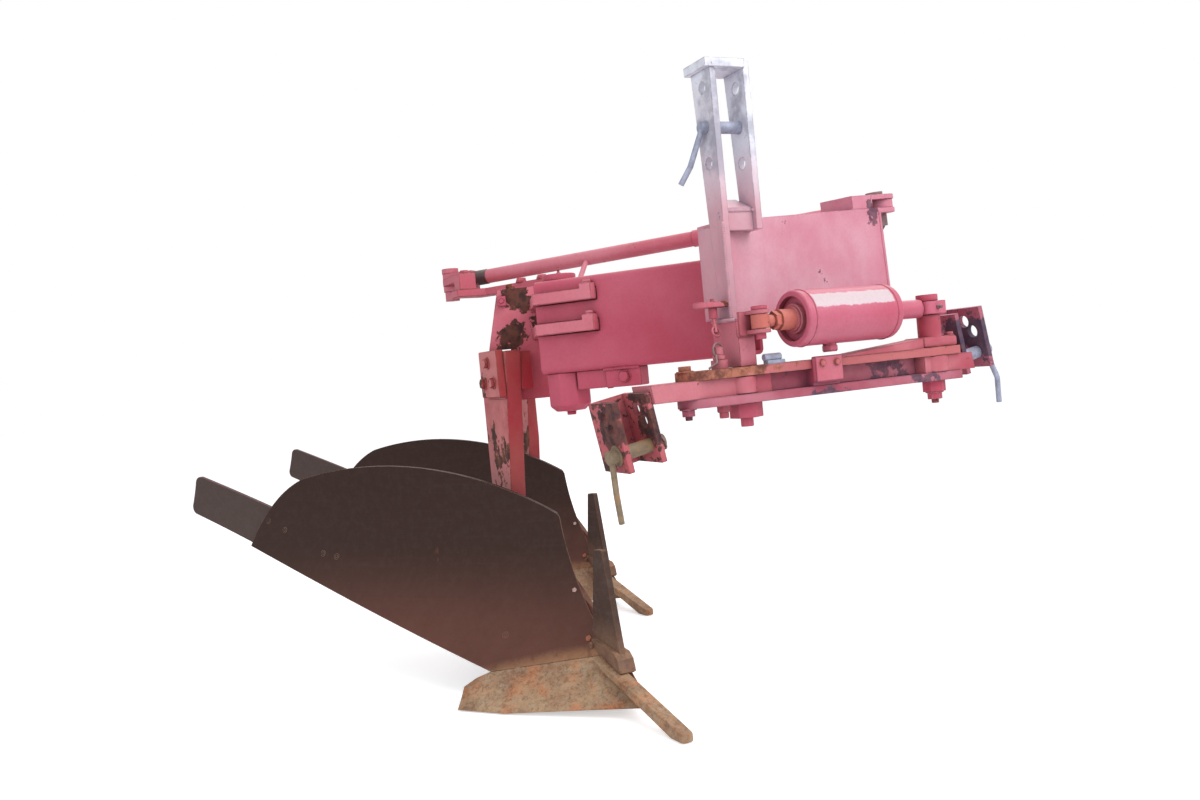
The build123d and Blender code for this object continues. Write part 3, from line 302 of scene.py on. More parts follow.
class Effect(Enum):
    """The effects that several finishes share, each a shader group that is built once from these inputs."""

    EDGES = ("worn_edges", "Radius", "Amount", "Scale")
    PATCHES = ("patches", "Scale", "Cover", "Softness")
    STREAKS = ("running_streaks", "Scale", "Cover")
    SETTLED = ("settled_dust", "Scale", "Cover", "Height")
    # Dirt and painted shade in inner corners.
    CORNERS = ("dirty_corners", "Reach", "Scale", "Cover")

    def group(self) -> bpy.types.NodeTree:
        """The shader group of this effect."""
        name, *inputs = self.value
        found = bpy.data.node_groups.get(name)
        if found:
            return found
        tree = bpy.data.node_groups.new(name, "ShaderNodeTree")
        tree.interface.new_socket("Vector", in_out="INPUT", socket_type="NodeSocketVector")
        for label in inputs:
            tree.interface.new_socket(label, in_out="INPUT", socket_type="NodeSocketFloat")
        tree.interface.new_socket("Mask", in_out="OUTPUT", socket_type="NodeSocketFloat")
        nodes = Nodes(tree)
        mask = getattr(self, self.name.lower())(nodes, tree.nodes.new("NodeGroupInput").outputs)
        nodes.feed(tree.nodes.new("NodeGroupOutput"), {"Mask": mask})
        return tree

    @staticmethod
    def edges(nodes: Nodes, given: dict[str, Socket]) -> Socket:
        """A mask that is strong where two faces meet at an outer or inner edge."""
        bevelled = nodes.add("Bevel", {"Radius": given["Radius"]}, samples=4).outputs[0]
        facing = nodes.vector("DOT_PRODUCT", {0: bevelled, 1: nodes.normal()}).outputs["Value"]
        turned = nodes.math("SUBTRACT", 1.0, facing)
        broken = nodes.ramp(nodes.noise(given["Vector"], given["Scale"], 5.0, 0.7), 0.36, 0.62, 0.15, 1.6)
        return nodes.times(nodes.math("MULTIPLY", turned, given["Amount"], clamp=False), broken)

    @staticmethod
    def patches(nodes: Nodes, given: dict[str, Socket]) -> Socket:
        """Ragged patches that cover a share of the surface."""
        cloud = nodes.noise(given["Vector"], given["Scale"], 7.0, 0.62)
        return nodes.cut(cloud, given["Cover"], 0.72, 0.36, given["Softness"])

    @staticmethod
    def streaks(nodes: Nodes, given: dict[str, Socket]) -> Socket:
        """Narrow stains that run down the surface."""
        cloud = nodes.noise(nodes.stretch(given["Vector"], (1.0, 1.0, 0.07)), given["Scale"], 5.0, 0.6)
        return nodes.cut(cloud, given["Cover"], 0.75, 0.38, 0.16)

    @staticmethod
    def corners(nodes: Nodes, given: dict[str, Socket]) -> Socket:
        """Dirt that gathers where two faces meet inwards, and painted shade there."""
        hidden = nodes.add("AmbientOcclusion", {"Distance": given["Reach"]}, samples=6).outputs["AO"]
        fuzzy = nodes.ramp(nodes.noise(given["Vector"], given["Scale"], 5.0, 0.65), 0.3, 0.6, 0.35, 1.0)
        return nodes.times(nodes.ramp(hidden, 0.82, 0.36), fuzzy, given["Cover"])

    @staticmethod
    def settled(nodes: Nodes, given: dict[str, Socket]) -> Socket:
        """Dust that lies on upward faces, and on all faces below a height in metres."""
        up = nodes.ramp(nodes.part(nodes.normal(), "Z"), 0.25, 0.95)
        low = nodes.ramp(nodes.part(given["Vector"], "Z"), given["Height"], 0.0, kind="LINEAR")
        fuzzy = nodes.ramp(nodes.noise(given["Vector"], given["Scale"], 6.0, 0.65), 0.3, 0.66, 0.15, 1.0)
        return nodes.times(nodes.most(up, low), fuzzy, given["Cover"])


class Surface(Nodes):
    """A material's nodes, the place that they read, and the colour of the coats laid so far."""

    def __init__(self, material: bpy.types.Material, colour: tuple) -> None:
        """Empties the material and gives it a shader and a first colour."""
        super().__init__(material.node_tree)
        self.tree.nodes.clear()
        self.shader = self.add("BsdfPrincipled")
        self.add("OutputMaterial", {"Surface": self.shader.outputs[0]})
        self.place = self.add("TexCoord").outputs["Object"]
        self.colour = colour

    def cloud(self, scale: float, detail: float = 4.0, rough: float = 0.55) -> Socket:
        """Cloudy noise over the piece."""
        return self.noise(self.place, scale, detail, rough)

    def coat(self, amount: Socket, colour: object) -> None:
        """Lays a colour over the ones below it."""
        self.colour = self.mix(amount, self.colour, colour)

    def mask(self, effect: Effect, **values: object) -> Socket:
        """The mask that a shared effect gives here.

        Args:
            effect: which effect.
            values: the group's inputs, by their names in small letters, as numbers or sockets.

        Returns:
            The mask's socket.
        """
        node = self.add("Group", node_tree=effect.group())
        self.feed(node, {"Vector": self.place} | {key.capitalize(): value for key, value in values.items()})
        return node.outputs["Mask"]

    def close(self, rough: Socket, relief: Socket, strength: float, depth: float, **more: object) -> None:
        """Feeds the shader.

        Args:
            rough: the roughness.
            relief: the height that the bump follows.
            strength: the bump's strength.
            depth: the bump's distance in metres.
            more: further inputs of the shader by their names, with _ for a space.
        """
        bump = self.add("Bump", {"Strength": strength, "Distance": depth, "Height": relief}).outputs[0]
        values = {"Base Color": self.colour, "Roughness": rough, "Normal": bump}
        self.feed(self.shader, values | {key.replace("_", " "): value for key, value in more.items()})


@dataclass(frozen=True)
class Finish:
    """What every finish has: a name, the record's slot that it stands for (not used), and its first colour."""

    name: str
    slot: str
    colour: tuple

    def material(self) -> bpy.types.Material:
        """The finish's material, built the first time that it is asked for."""
        found = bpy.data.materials.get(self.name)
        if found:
            return found
        made = bpy.data.materials.new(self.name)
        made.use_nodes = True
        self.fill(Surface(made, self.colour))
        return made

    def fill(self, skin: Surface) -> None:
        """Lays the coats and feeds the shader; each finish has its own."""
        raise NotImplementedError


@dataclass(frozen=True)
class Paint(Finish):
    """Old machine paint: bleached by the sun, chipped to dark primer and rust, streaked and dusty, with dirt
    and painted shade in its inner corners and, where asked, a painted highlight that pales it towards the top.
    """

    faded: tuple
    under: tuple = rgb(0x422624)
    rust: tuple = rgb(0x8C4C32)
    fade: float = 0.5
    fade_scale: float = 2.6
    peel: float = 0.12
    peel_scale: float = 11.0
    edge: float = 4.0
    streak: float = 0.3
    dust: float = 0.25
    dust_colour: tuple = rgb(0xB0967A)
    rough: float = 0.5
    # The painted highlight's colour, and the heights in metres between which it grows in; painted light, not a
    # colour of the paint.
    bleach: tuple = rgb(0xCDC8D7)
    bleach_from: float = 9.0
    bleach_to: float = 10.0
    side_peel: float = 0.0
    side_colour: tuple = rgb(0xB05C64)
    side_tint: float = 0.0
    zone: tuple = (0, 9.0, 10.0, 0.0)
    label: tuple = ()
    spots: tuple = ()
    cloudy: float = 0.0

    def fill(self, skin: Surface) -> None:
        """Layers fading, a painted highlight up high, stains, chips, dirt with painted shade in corners, and
        dust, from the paint outwards.
        """
        cloud = skin.cloud(self.fade_scale, 5.0)
        side = skin.ramp(skin.part(skin.normal(), "Y"), -0.45, -0.85)
        skin.coat(skin.times(skin.ramp(cloud, 0.3, 0.68), self.fade), self.faded)
        # Painted highlight: above a height the paint pales towards the glow colour, standing in for sky light
        # on the top.
        high = skin.ramp(skin.part(skin.place, "Z"), self.bleach_from, self.bleach_to, 0.0, 0.95)
        skin.coat(skin.times(high, skin.ramp(cloud, 0.25, 0.6, 0.5, 1.0)), self.bleach)
        uneven = skin.ramp(skin.cloud(7.0, 6.0, 0.65), 0.3, 0.6, 0.3, 1.0)
        skin.coat(skin.times(side, self.side_tint, uneven), self.side_colour)
        if self.cloudy:
            dull = skin.ramp(skin.cloud(8.0, 6.0, 0.62), 0.44, 0.6, 0.0, self.cloudy)
            skin.coat(skin.times(dull, skin.plus(high, 0.15)), self.under)
        if self.label:
            skin.coat(self.pale_patch(skin), rgb(0xD6CACE))
        skin.coat(skin.ramp(skin.cloud(160.0, 3.0), 0.35, 0.7, 0.0, 0.07), self.under)
        skin.coat(skin.times(skin.mask(Effect.STREAKS, scale=26.0, cover=self.streak), 0.35), self.rust)
        bare = self.bare_mask(skin, side)
        skin.coat(bare, skin.mix(skin.ramp(skin.cloud(38.0, 6.0, 0.7), 0.38, 0.62), self.under, self.rust))
        # Dirt and painted shade: the primer colour darkens the places where faces meet inwards.
        skin.coat(skin.mask(Effect.CORNERS, reach=0.03, scale=30.0, cover=0.55), self.under)
        dust = skin.mask(Effect.SETTLED, scale=14.0, cover=self.dust, height=0.0)
        skin.coat(dust, self.dust_colour)
        rough = skin.ramp(skin.most(bare, dust), 0.0, 1.0, self.rough, 0.86)
        raised = skin.ramp(skin.cloud(90.0, 4.0), 0.2, 0.8, 0.55, 0.9)
        relief = skin.math("SUBTRACT", raised, skin.times(bare, 0.5))
        skin.close(rough, relief, 0.2, 0.0012, Specular_IOR_Level=0.35)

    def bare_mask(self, skin: Surface, side: Socket) -> Socket:
        """The mask of the places where the paint is gone: patches, specks, edges and given spots."""
        axis, zone_low, zone_high, zone_cover = self.zone
        zone = skin.times(skin.ramp(skin.part(skin.place, axis), zone_low, zone_high), zone_cover)
        cover = skin.plus(zone, self.peel, skin.times(side, self.side_peel))
        patch = skin.mask(Effect.PATCHES, scale=self.peel_scale, cover=cover, softness=0.02)
        speck = skin.mask(Effect.PATCHES, scale=self.peel_scale * 6, cover=self.peel * 0.9, softness=0.05)
        worn = skin.mask(Effect.EDGES, radius=0.004, amount=self.edge, scale=45.0)
        bare = skin.most(patch, speck, skin.ramp(worn, 0.25, 0.6))
        if not self.spots:
            return bare
        noise = skin.cloud(24.0, 6.0, 0.7).node.outputs["Color"]
        centred = skin.vector("SUBTRACT", {0: noise, 1: (0.5, 0.5, 0.5)}).outputs[0]
        shift = skin.vector("SCALE", {0: centred, "Scale": 0.12}).outputs[0]
        moved = skin.vector("ADD", {0: skin.place, 1: shift}).outputs[0]
        for middle, radius in self.spots:
            away = skin.vector("DISTANCE", {0: moved, 1: middle}).outputs["Value"]
            bare = skin.most(bare, skin.ramp(away, radius / MM, radius / MM / SPOT_RIM))
        return bare

    def pale_patch(self, skin: Surface) -> Socket:
        """The mask of a blank, worn patch between two values of y and of z."""
        ragged = skin.math("SUBTRACT", skin.cloud(60.0, 5.0, 0.7), 0.5, clamp=False)
        shift = skin.math("MULTIPLY", ragged, 0.012, clamp=False)
        mask = 0.85
        for axis, low, high in (("Y", *self.label[:2]), ("Z", *self.label[2:])):
            moved = skin.math("ADD", skin.part(skin.place, axis), shift, clamp=False)
            from_low = skin.ramp(moved, low, low + PATCH_RIM)
            mask = skin.times(mask, from_low, skin.ramp(moved, high, high - PATCH_RIM))
        return mask


@dataclass(frozen=True)
class SoilSteel(Finish):
    """Steel that soil slides over: oxidised dark, scratched along the flow, rusty and dusty low down."""

    colour: tuple = rgb(0x382A28)
    warm: tuple = rgb(0x663E34)
    rust: tuple = rgb(0x965838)
    sand: tuple = rgb(0xAC8E74)
    grey: tuple = rgb(0x70645E)
    turn: float = -37.0
    warm_high: float = 0.34
    mottle: float = 0.3
    rust_cover: float = 0.2
    rust_scale: float = 9.0
    sand_cover: float = 0.3
    sand_height: float = 0.16
    joint_dust: float = 0.0
    edge_tint: tuple = rgb(0x965C3C)
    rough: float = 0.5
    metal: float = 0.12
    pits: float = 0.5
    grit: float = 0.1

    def fill(self, skin: Surface) -> None:
        """Layers oxide, scratches, rust and sand."""
        height = skin.ramp(skin.part(skin.place, "Z"), self.warm_high, WARM_LOW)
        skin.coat(skin.times(height, skin.ramp(skin.cloud(3.1, 6.0, 0.6), 0.28, 0.6, 0.4, 1.0)), self.warm)
        flow = skin.stretch(skin.place, (1.4, 40.0, 40.0), math.radians(self.turn))
        lines = skin.noise(flow, 2.0, 6.0, 0.62)
        skin.coat(skin.ramp(lines, 0.5, 0.75, 0.0, 0.05), self.grey)
        fine = skin.cloud(46.0, 7.0, 0.72)
        skin.coat(skin.ramp(fine, 0.42, 0.66, 0.0, self.mottle), self.grey)
        broad = skin.cloud(13.0, 6.0, 0.68)
        skin.coat(skin.ramp(broad, 0.5, 0.68, 0.0, self.mottle), self.colour)
        rust = skin.mask(Effect.PATCHES, scale=self.rust_scale, cover=self.rust_cover, softness=0.12)
        skin.coat(skin.times(rust, 0.88), self.rust)
        dust = skin.mask(Effect.SETTLED, scale=11.0, cover=self.sand_cover, height=self.sand_height)
        if self.joint_dust:
            dust = skin.most(dust, self.joint_strip(skin, fine, broad))
        skin.coat(dust, self.sand)
        skin.coat(skin.ramp(skin.cloud(95.0, 8.0, 0.8), 0.46, 0.62, 0.0, self.grit), self.colour)
        edge = skin.mask(Effect.EDGES, radius=0.003, amount=4.0, scale=30.0)
        skin.coat(skin.times(edge, 0.6), self.edge_tint)
        stained = skin.most(rust, dust)
        scratched = skin.ramp(lines, 0.3, 0.7, self.rough - 0.05, self.rough + 0.1)
        rough = skin.plus(scratched, skin.times(stained, 0.3))
        pits = skin.times(skin.ramp(skin.cloud(75.0, 6.0, 0.75), 0.3, 0.6), self.pits)
        metal = skin.math("SUBTRACT", self.metal, stained)
        relief = skin.plus(pits, skin.times(lines, 0.2))
        skin.close(rough, relief, 0.35, 0.001, Metallic=metal, Specular_IOR_Level=0.22)

    def joint_strip(self, skin: Surface, fine: Socket, broad: Socket) -> Socket:
        """The mask of the sand that lies along the joint with the share."""
        above = skin.add("Attribute", attribute_name="above_joint").outputs["Fac"]
        back = skin.add("Attribute", attribute_name="along_board").outputs["Fac"]
        lifted = skin.plus(above, skin.times(back, 0.045), skin.times(broad, 0.02))
        ends = skin.ramp(back, 0.66, 0.5)
        return skin.times(
            skin.ramp(lifted, 0.054, 0.022), ends, skin.ramp(fine, 0.3, 0.55, 0.35, 1.0), self.joint_dust
        )


@dataclass(frozen=True)
class BareSteel(Finish):
    """Plain steel of pins, threads and fasteners, dull and spotted with rust."""

    rust: tuple
    cover: float = 0.35
    sand: tuple = rgb(0xA8927A)
    rough: float = 0.5
    metal: float = 0.3

    def fill(self, skin: Surface) -> None:
        """Mixes steel and rust over the surface."""
        skin.coat(skin.ramp(skin.cloud(55.0, 5.0, 0.65), 0.3, 0.7, 0.0, 0.4), rgb(0x3C3230))
        rust = skin.mask(Effect.PATCHES, scale=32.0, cover=self.cover, softness=0.12)
        skin.coat(rust, self.rust)
        dust = skin.mask(Effect.SETTLED, scale=20.0, cover=0.4, height=0.0)
        skin.coat(dust, self.sand)
        stained = skin.most(rust, dust)
        rough = skin.ramp(stained, 0.0, 1.0, self.rough, 0.85)
        metal = skin.math("SUBTRACT", self.metal, stained)
        skin.close(rough, skin.cloud(140.0, 5.0, 0.7), 0.4, 0.0008, Metallic=metal)


# ---------------------------------------------------------------- finishes

BLEACHED = "bleached_pink_paint"
PINK = Paint(
    "headstock_pink", BLEACHED, rgb(0xCC768A), rgb(0xE0B0BE), fade=1.0, peel=0.03, edge=2.5,
    streak=0.1, dust=0.12, under=rgb(0x684254), rust=rgb(0x865C68),
    spots=(
        (HEAD.at(0, 595, 196), 26), (HEAD.at(0, 340, 70), 9), (HEAD.at(0, 360, 48), 6),
        (HEAD.at(0, 240, 178), 5),
    ),
)
# The mast's top is paled by a painted highlight.
MAST_PINK = Paint(
    "mast_pink", BLEACHED, rgb(0xC88290), rgb(0xDAB0BA), fade=0.9, peel=0.16, peel_scale=14.0,
    cloudy=0.7, under=rgb(0x8A8698), rust=rgb(0x967882), bleach=rgb(0xECF2FC),
    bleach_from=0.98, bleach_to=1.18, dust=0.05,
)
BARREL_PINK = Paint(
    "barrel_pink", BLEACHED, rgb(0xC05068), rgb(0xD07A90), fade=0.7, peel=0.02, edge=2.5,
    streak=0.06, rough=0.34, dust=0.1,
)
LABEL_PINK = replace(
    BARREL_PINK, name="barrel_pink_with_patch", label=(at(0, 308, 0).y, at(0, 520, 0).y, 0.806, 0.836)
)
ROD_PINK = Paint("rod_pink", BLEACHED, rgb(0xBE5A52), rgb(0xD07E72), fade=0.6, peel=0.14, edge=3.5)
BEAM_RED = Paint(
    "beam_red", "red_paint", rgb(0xB83E56), rgb(0xCE687E), fade=0.7, peel=0.04, edge=3.0, streak=0.1,
    dust=0.15,
)
STAY_RED = Paint(
    "stay_red", "red_paint", rgb(0xC05468), rgb(0xD88C98), fade=0.8, peel=0.16, peel_scale=14.0,
    edge=3.5, dust=0.1,
)
CARRIER_RED = Paint(
    "carrier_red", "red_paint", rgb(0xB84254), rgb(0xD07080), fade=0.7, peel=0.16, peel_scale=9.0,
    edge=4.5,
)
PEELED_RED = Paint(
    "peeled_red", "red_paint", rgb(0xC04C5E), rgb(0xDE8492), fade=0.8, peel=0.1, peel_scale=10.0,
    under=rgb(0x3E2826), rust=rgb(0x683E34), dust=0.1, zone=(0, at(-606, 0, 0).x, at(-650, 0, 0).x, 0.16),
    spots=(
        (at(-672, -18, 925), 38), (at(-672, -38, 828), 40), (at(-672, -76, 790), 26), (at(-660, 30, 860), 22),
    ),
)
LEG_RED = Paint(
    "leg_red", "leg_paint", rgb(0xA42632), rgb(0xA64A48), fade=0.9, fade_scale=7.0, peel=0.14,
    peel_scale=12.0, edge=5.0, side_peel=0.3, side_tint=0.85, side_colour=rgb(0xCC7474),
    under=rgb(0x3E2824), rust=rgb(0x7C4C3A), dust=0.1,
)
BAR_RUST = Paint(
    "bar_rust", "rusty_plate", rgb(0xB85C62), rgb(0xCE8080), under=rgb(0x704238),
    rust=rgb(0xB2705A), fade=0.7, peel=0.24, peel_scale=8.0, edge=5.0, dust=0.3,
    zone=(1, at(0, 330, 0).y, at(0, 180, 0).y, 0.5), dust_colour=rgb(0xB68070),
)
BAR_RED = Paint(
    "bar_red", "red_paint", rgb(0xAC4254), rgb(0xCE7C86), under=rgb(0x623C42), rust=rgb(0x965C54),
    fade=0.9, fade_scale=5.0, peel=0.2, peel_scale=9.0, edge=5.0, dust_colour=rgb(0xBE8680),
)
LOWER_BAR = Paint(
    "lower_bar_red", "red_paint", rgb(0xA04256), rgb(0xC47A88), under=rgb(0x5C4254),
    rust=rgb(0x805864), fade=0.9, fade_scale=5.0, peel_scale=7.0, edge=5.0, dust=0.2,
    dust_colour=rgb(0xBE8680), zone=(1, at(0, 200, 0).y, at(0, 520, 0).y, 0.3),
)
CLEVIS_RED = Paint(
    "clevis_red", "red_paint", rgb(0xB04650), rgb(0xCE7C80), fade=0.6, peel=0.5, peel_scale=10.0,
    edge=3.0, under=rgb(0x422C30), rust=rgb(0x70443E), dust_colour=rgb(0xBE827A),
    spots=((at(0, -108, 610), 48), (at(30, -24, 615), 46), (at(20, 832, 720), 50), (at(60, 748, 715), 46)),
)
CLEVIS_VIOLET = replace(
    CLEVIS_RED, name="clevis_violet", colour=rgb(0xA85264), faded=rgb(0xBA7884), under=rgb(0x4E4054),
    rust=rgb(0x684E5C), dust_colour=rgb(0x8C7C94),
)
PIN_RED = replace(BEAM_RED, name="painted_pin", slot="bare_steel")
BOLT_RED = replace(STAY_RED, name="painted_bolt", slot="bare_steel")
COLUMN_PINK = replace(STAY_RED, name="column_pink", slot=BLEACHED)
BRACKET_PINK = replace(BAR_RED, name="bracket_pink", slot=BLEACHED)
BOARD = SoilSteel(
    "mouldboard_oxide", "board_steel", rgb(0x36211B), warm=rgb(0x643D33), rough=0.46, mottle=0.05,
    rust_cover=0.02, sand_cover=0.05, joint_dust=0.85, edge_tint=rgb(0x9E8070), pits=0.2,
    sand=rgb(0xAA7E5C), grit=0.05,
)
SHARE = SoilSteel(
    "share_rust", "share_steel", rgb(0x5C4234), warm=rgb(0x96684C), rust=rgb(0xC06C40),
    sand=rgb(0xD6BA96), grey=rgb(0xAC9C8A), warm_high=0.3, mottle=0.6, rust_cover=0.56,
    rust_scale=12.0, sand_cover=0.55, sand_height=0.3, metal=0.05, rough=0.66, pits=0.9, grit=0.5,
)
FIN = SoilSteel(
    "fin_oxide", "body_steel", rgb(0x4E3A32), warm=rgb(0x745242), turn=0.0, warm_high=0.2,
    rust_cover=0.15, sand_cover=0.85, sand_height=0.19, sand=rgb(0xB08C70), grit=0.35,
)
LANDSIDE = SoilSteel(
    "landside_oxide", "board_steel", turn=0.0, rust_cover=0.3, rust_scale=14.0, sand_cover=0.4, mottle=0.4,
    grit=0.3,
)
FROG = SoilSteel(
    "frog_rust", "body_steel", rgb(0x542C28), warm=rgb(0x7A4436), turn=0.0, rust_cover=0.35, metal=0.1,
    rough=0.65, grit=0.2,
)
TAIL = SoilSteel(
    "tailpiece_oxide", "board_steel", rgb(0x50403C), warm=rgb(0x764E44), rough=0.46, mottle=0.1,
    rust_cover=0.04, sand_cover=0.05, edge_tint=rgb(0xB05462), grit=0.05,
)
PALE_FLAKE = BareSteel("pale_flake", "board_steel", rgb(0xCEACA4), rgb(0xB27E6C), metal=0.0, rough=0.7)
RUSTY_FLAKE = BareSteel("rusty_flake", "board_steel", rgb(0xB06042), rgb(0x96543A), metal=0.0, rough=0.8)
STEEL = BareSteel("dull_steel", "bare_steel", rgb(0x907476), rgb(0x80544C), sand=rgb(0xB8908C))
THREAD = BareSteel("dark_thread", "bare_steel", rgb(0x5C4A4C), rgb(0x5C423C), cover=0.4)
PIN = BareSteel(
    "grey_pin_steel", "pin_steel", rgb(0xACB0C6), rgb(0x827A88), cover=0.3, metal=0.2, rough=0.6,
    sand=rgb(0xACA8B4),
)
SANDY_PIN = BareSteel(
    "sandy_pin_steel", "pin_steel", rgb(0x968268), rgb(0xA47A50), cover=0.5, metal=0.15, rough=0.65
)


# ---------------------------------------------------------------- shapes


def select_only(*objects: Piece) -> None:
    """Selects these objects and nothing else, and makes the first one active."""
    bpy.ops.object.select_all(action="DESELECT")
    for item in objects:
        item.select_set(True)
    bpy.context.view_layer.objects.active = objects[0]


def united(parts: list[Piece]) -> Piece:
    """Joins some shapes into the first one."""
    select_only(*parts)
    if len(parts) > 1:
        bpy.ops.object.join()
    return bpy.context.view_layer.objects.active


def modified(piece: Piece, kind: str, **settings: object) -> None:
    """Gives the active piece a modifier with these settings, and applies it."""
    bpy.ops.object.modifier_add(type=kind)
    modifier = piece.modifiers[-1]
    for name, value in settings.items():
        setattr(modifier, name, value)
    bpy.ops.object.modifier_apply(modifier=modifier.name)


def repeated(piece: Piece, step: float, length: float, **settings: object) -> None:
    """Repeats the active piece along +Z as often as fits a length, at least twice."""
    modified(
        piece, "ARRAY", use_relative_offset=False, use_constant_offset=True,
        constant_offset_displace=(0.0, 0.0, step), count=max(2, int(length / step)), **settings,
    )


def rounded(piece: Piece, width: float, segments: int = 2, angle: float = CAD_EDGE) -> None:
    """Rounds a piece's sharp edges and shades it smooth.

    Args:
        piece: a mesh object.
        width: the rounding's width in metres.
        segments: how many faces go across the rounding.
        angle: edges sharper than this many degrees are rounded.
    """
    select_only(piece)
    if width > 0:
        modified(
            piece, "BEVEL", width=width, segments=segments, limit_method="ANGLE",
            angle_limit=math.radians(angle), miter_outer="MITER_ARC",
        )
    bpy.ops.object.shade_smooth_by_angle(angle=math.radians(SMOOTH_EDGE))
    modified(piece, "WEIGHTED_NORMAL", keep_sharp=True)


def finish_piece(piece: Piece, name: str, body: str, finish: Finish) -> Piece:
    """Names a piece, gives it its finish and lets it ride on a body."""
    piece.name = name
    piece.data.name = name
    piece.data.materials.clear()
    piece.data.materials.append(finish.material())
    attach(piece, body)
    log.info("%s rides on %s in %s", name, body, finish.name)
    return piece


def dressed(node: str, finish: Finish, width: float) -> Piece:
    """Stands a copy of a CAD node with rounded edges in its place.

    Args:
        node: the node's name.
        finish: what the copy is made of.
        width: how far its edges are rounded, in metres.

    Returns:
        The new piece.
    """
    source = frame["nodes"][node]
    body = source["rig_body"]
    select_only(source)
    bpy.ops.object.duplicate()
    piece = bpy.context.view_layer.objects.active
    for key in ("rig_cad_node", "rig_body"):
        del piece[key]
    piece.parent = None
    bpy.ops.object.mode_set(mode="EDIT")
    bpy.ops.mesh.select_all(action="SELECT")
    bpy.ops.mesh.remove_doubles(threshold=MERGE_WITHIN)
    bpy.ops.mesh.dissolve_limited(angle_limit=math.radians(FLAT_WITHIN))
    bpy.ops.mesh.customdata_custom_splitnormals_clear()
    bpy.ops.object.mode_set(mode="OBJECT")
    rounded(piece, width)
    finish_piece(piece, f"{node}_finished", body, finish)
    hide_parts(node)
    return piece


def stood_along(start: Vector, direction: Vector, turn: float = 0.0) -> Matrix:
    """The move that stands a shape built along +Z at a place and along a direction."""
    rotation = direction.to_track_quat("Z", "Y").to_matrix().to_4x4()
    return Matrix.Translation(start) @ rotation @ Matrix.Rotation(math.radians(turn), 4, "Z")


def line(place: Place, *ends: float) -> tuple[Vector, Vector]:
    """The two ends of a straight run, from six numbers that a function such as at places."""
    return place(*ends[:3]), place(*ends[3:])


def lines(place: Place, *runs: tuple) -> list[tuple[Vector, Vector]]:
    """The ends of several straight runs."""
    return [line(place, *run) for run in runs]


def disc(radius: float, low: float, high: float, sides: int) -> Piece:
    """A disc or hexagon about the Z axis, in millimetres."""
    bpy.ops.mesh.primitive_cylinder_add(
        vertices=sides, radius=radius / MM, depth=(high - low) / MM, location=(0, 0, (high + low) / (2 * MM))
    )
    bpy.ops.object.transform_apply(location=True, rotation=False, scale=False)
    return bpy.context.object


def column_along(start: Vector, end: Vector, radius: float, sides: int) -> Piece:
    """A round or many-sided bar between two places; the radius is in millimetres."""
    made = disc(radius, 0.0, (end - start).length * MM, sides)
    made.data.transform(stood_along(start, (end - start).normalized()))
    return made


def rod(place: Place, ends: tuple, radius: float, sides: int = 24) -> Piece:
    """A round or many-sided bar between two ends that are given as six numbers."""
    return column_along(*line(place, *ends), radius, sides)


def block(axes: Axes, low: tuple, high: tuple) -> Piece:
    """A block between two corners, given in an assembly's own axes and in millimetres."""
    bpy.ops.mesh.primitive_cube_add(size=1.0, location=(0, 0, 0))
    made = bpy.context.object
    size = [(b - a) / MM for a, b in zip(low, high)]
    middle = Vector([(a + b) / (2 * MM) for a, b in zip(low, high)])
    made.data.transform(axes.matrix() @ Matrix.Translation(middle) @ Matrix.Diagonal((*size, 1.0)))
    return made


def ring(place: Vector, direction: Vector, major: float, minor: float, sides: int = 32) -> Piece:
    """A round ring of wire, with both radii in millimetres."""
    bpy.ops.mesh.primitive_torus_add(
        major_radius=major / MM, minor_radius=minor / MM, major_segments=sides, minor_segments=10
    )
    made = bpy.context.object
    made.data.transform(stood_along(place, direction))
    return made


def wire(points: list[Vector], radius: float) -> list[Piece]:
    """A bent bar through some places, as straight lengths with a ball at each bend."""
    made = [column_along(start, end, radius, 12) for start, end in zip(points, points[1:])]
    for place in points[1:-1]:
        bpy.ops.mesh.primitive_uv_sphere_add(segments=12, ring_count=8, radius=radius / MM)
        made.append(bpy.context.object)
        made[-1].data.transform(Matrix.Translation(place))
    return made


class Fastener(Enum):
    """The fasteners, each modelled once from discs along +Z that reach a millimetre into its seat."""

    HEAD = ((17.5, -1.0, 2.6, 24), (14.5, 2.5, 12.0, 6))
    NUT = (
        (17.5, -1.0, 2.6, 24), (14.5, 2.5, 15.0, 6),
        *((7.9 if turn % 2 else 7.2, 14.8 + turn * 1.6, 14.8 + turn * 1.6 + 1.7, 14) for turn in range(5)),
    )
    SMALL = ((9.5, -1.0, 1.6, 20), (8.0, 1.5, 7.0, 6))
    FLUSH = ((11.0, -1.0, 0.9, 20),)
    NIPPLE = ((5.0, -1.0, 4.0, 6), (2.4, 3.9, 8.0, 12), (3.2, 7.9, 11.0, 12))

    def build(self) -> Piece:
        """Models one fastener.

        Returns:
            The object, which is a pattern to copy and is removed at the end.
        """
        parts = [disc(*sizes) for sizes in self.value]
        if self is Fastener.FLUSH:
            bpy.ops.mesh.primitive_cube_add(size=0.009, location=(0, 0, 0.0002))
            bpy.context.object.scale = (1.0, 1.0, 0.24)
            bpy.ops.object.transform_apply(location=False, rotation=False, scale=True)
            parts.append(bpy.context.object)
        made = united(parts)
        rounded(made, 0.0009, 1, FASTENER_EDGE)
        made.name = f"pattern_{self.name.lower()}"
        return made

    def rows(self, way: tuple | Vector, size: float, place: Place, *spots: tuple) -> list[tuple]:
        """Rows for Assembly.bolts: this fastener at several spots, facing one way; size 1 is an M16."""
        return [(self, place(*spot), way, size) for spot in spots]


# The modelled fasteners, filled by main() and removed at its end.
PATTERNS: dict[Fastener, Piece] = {}


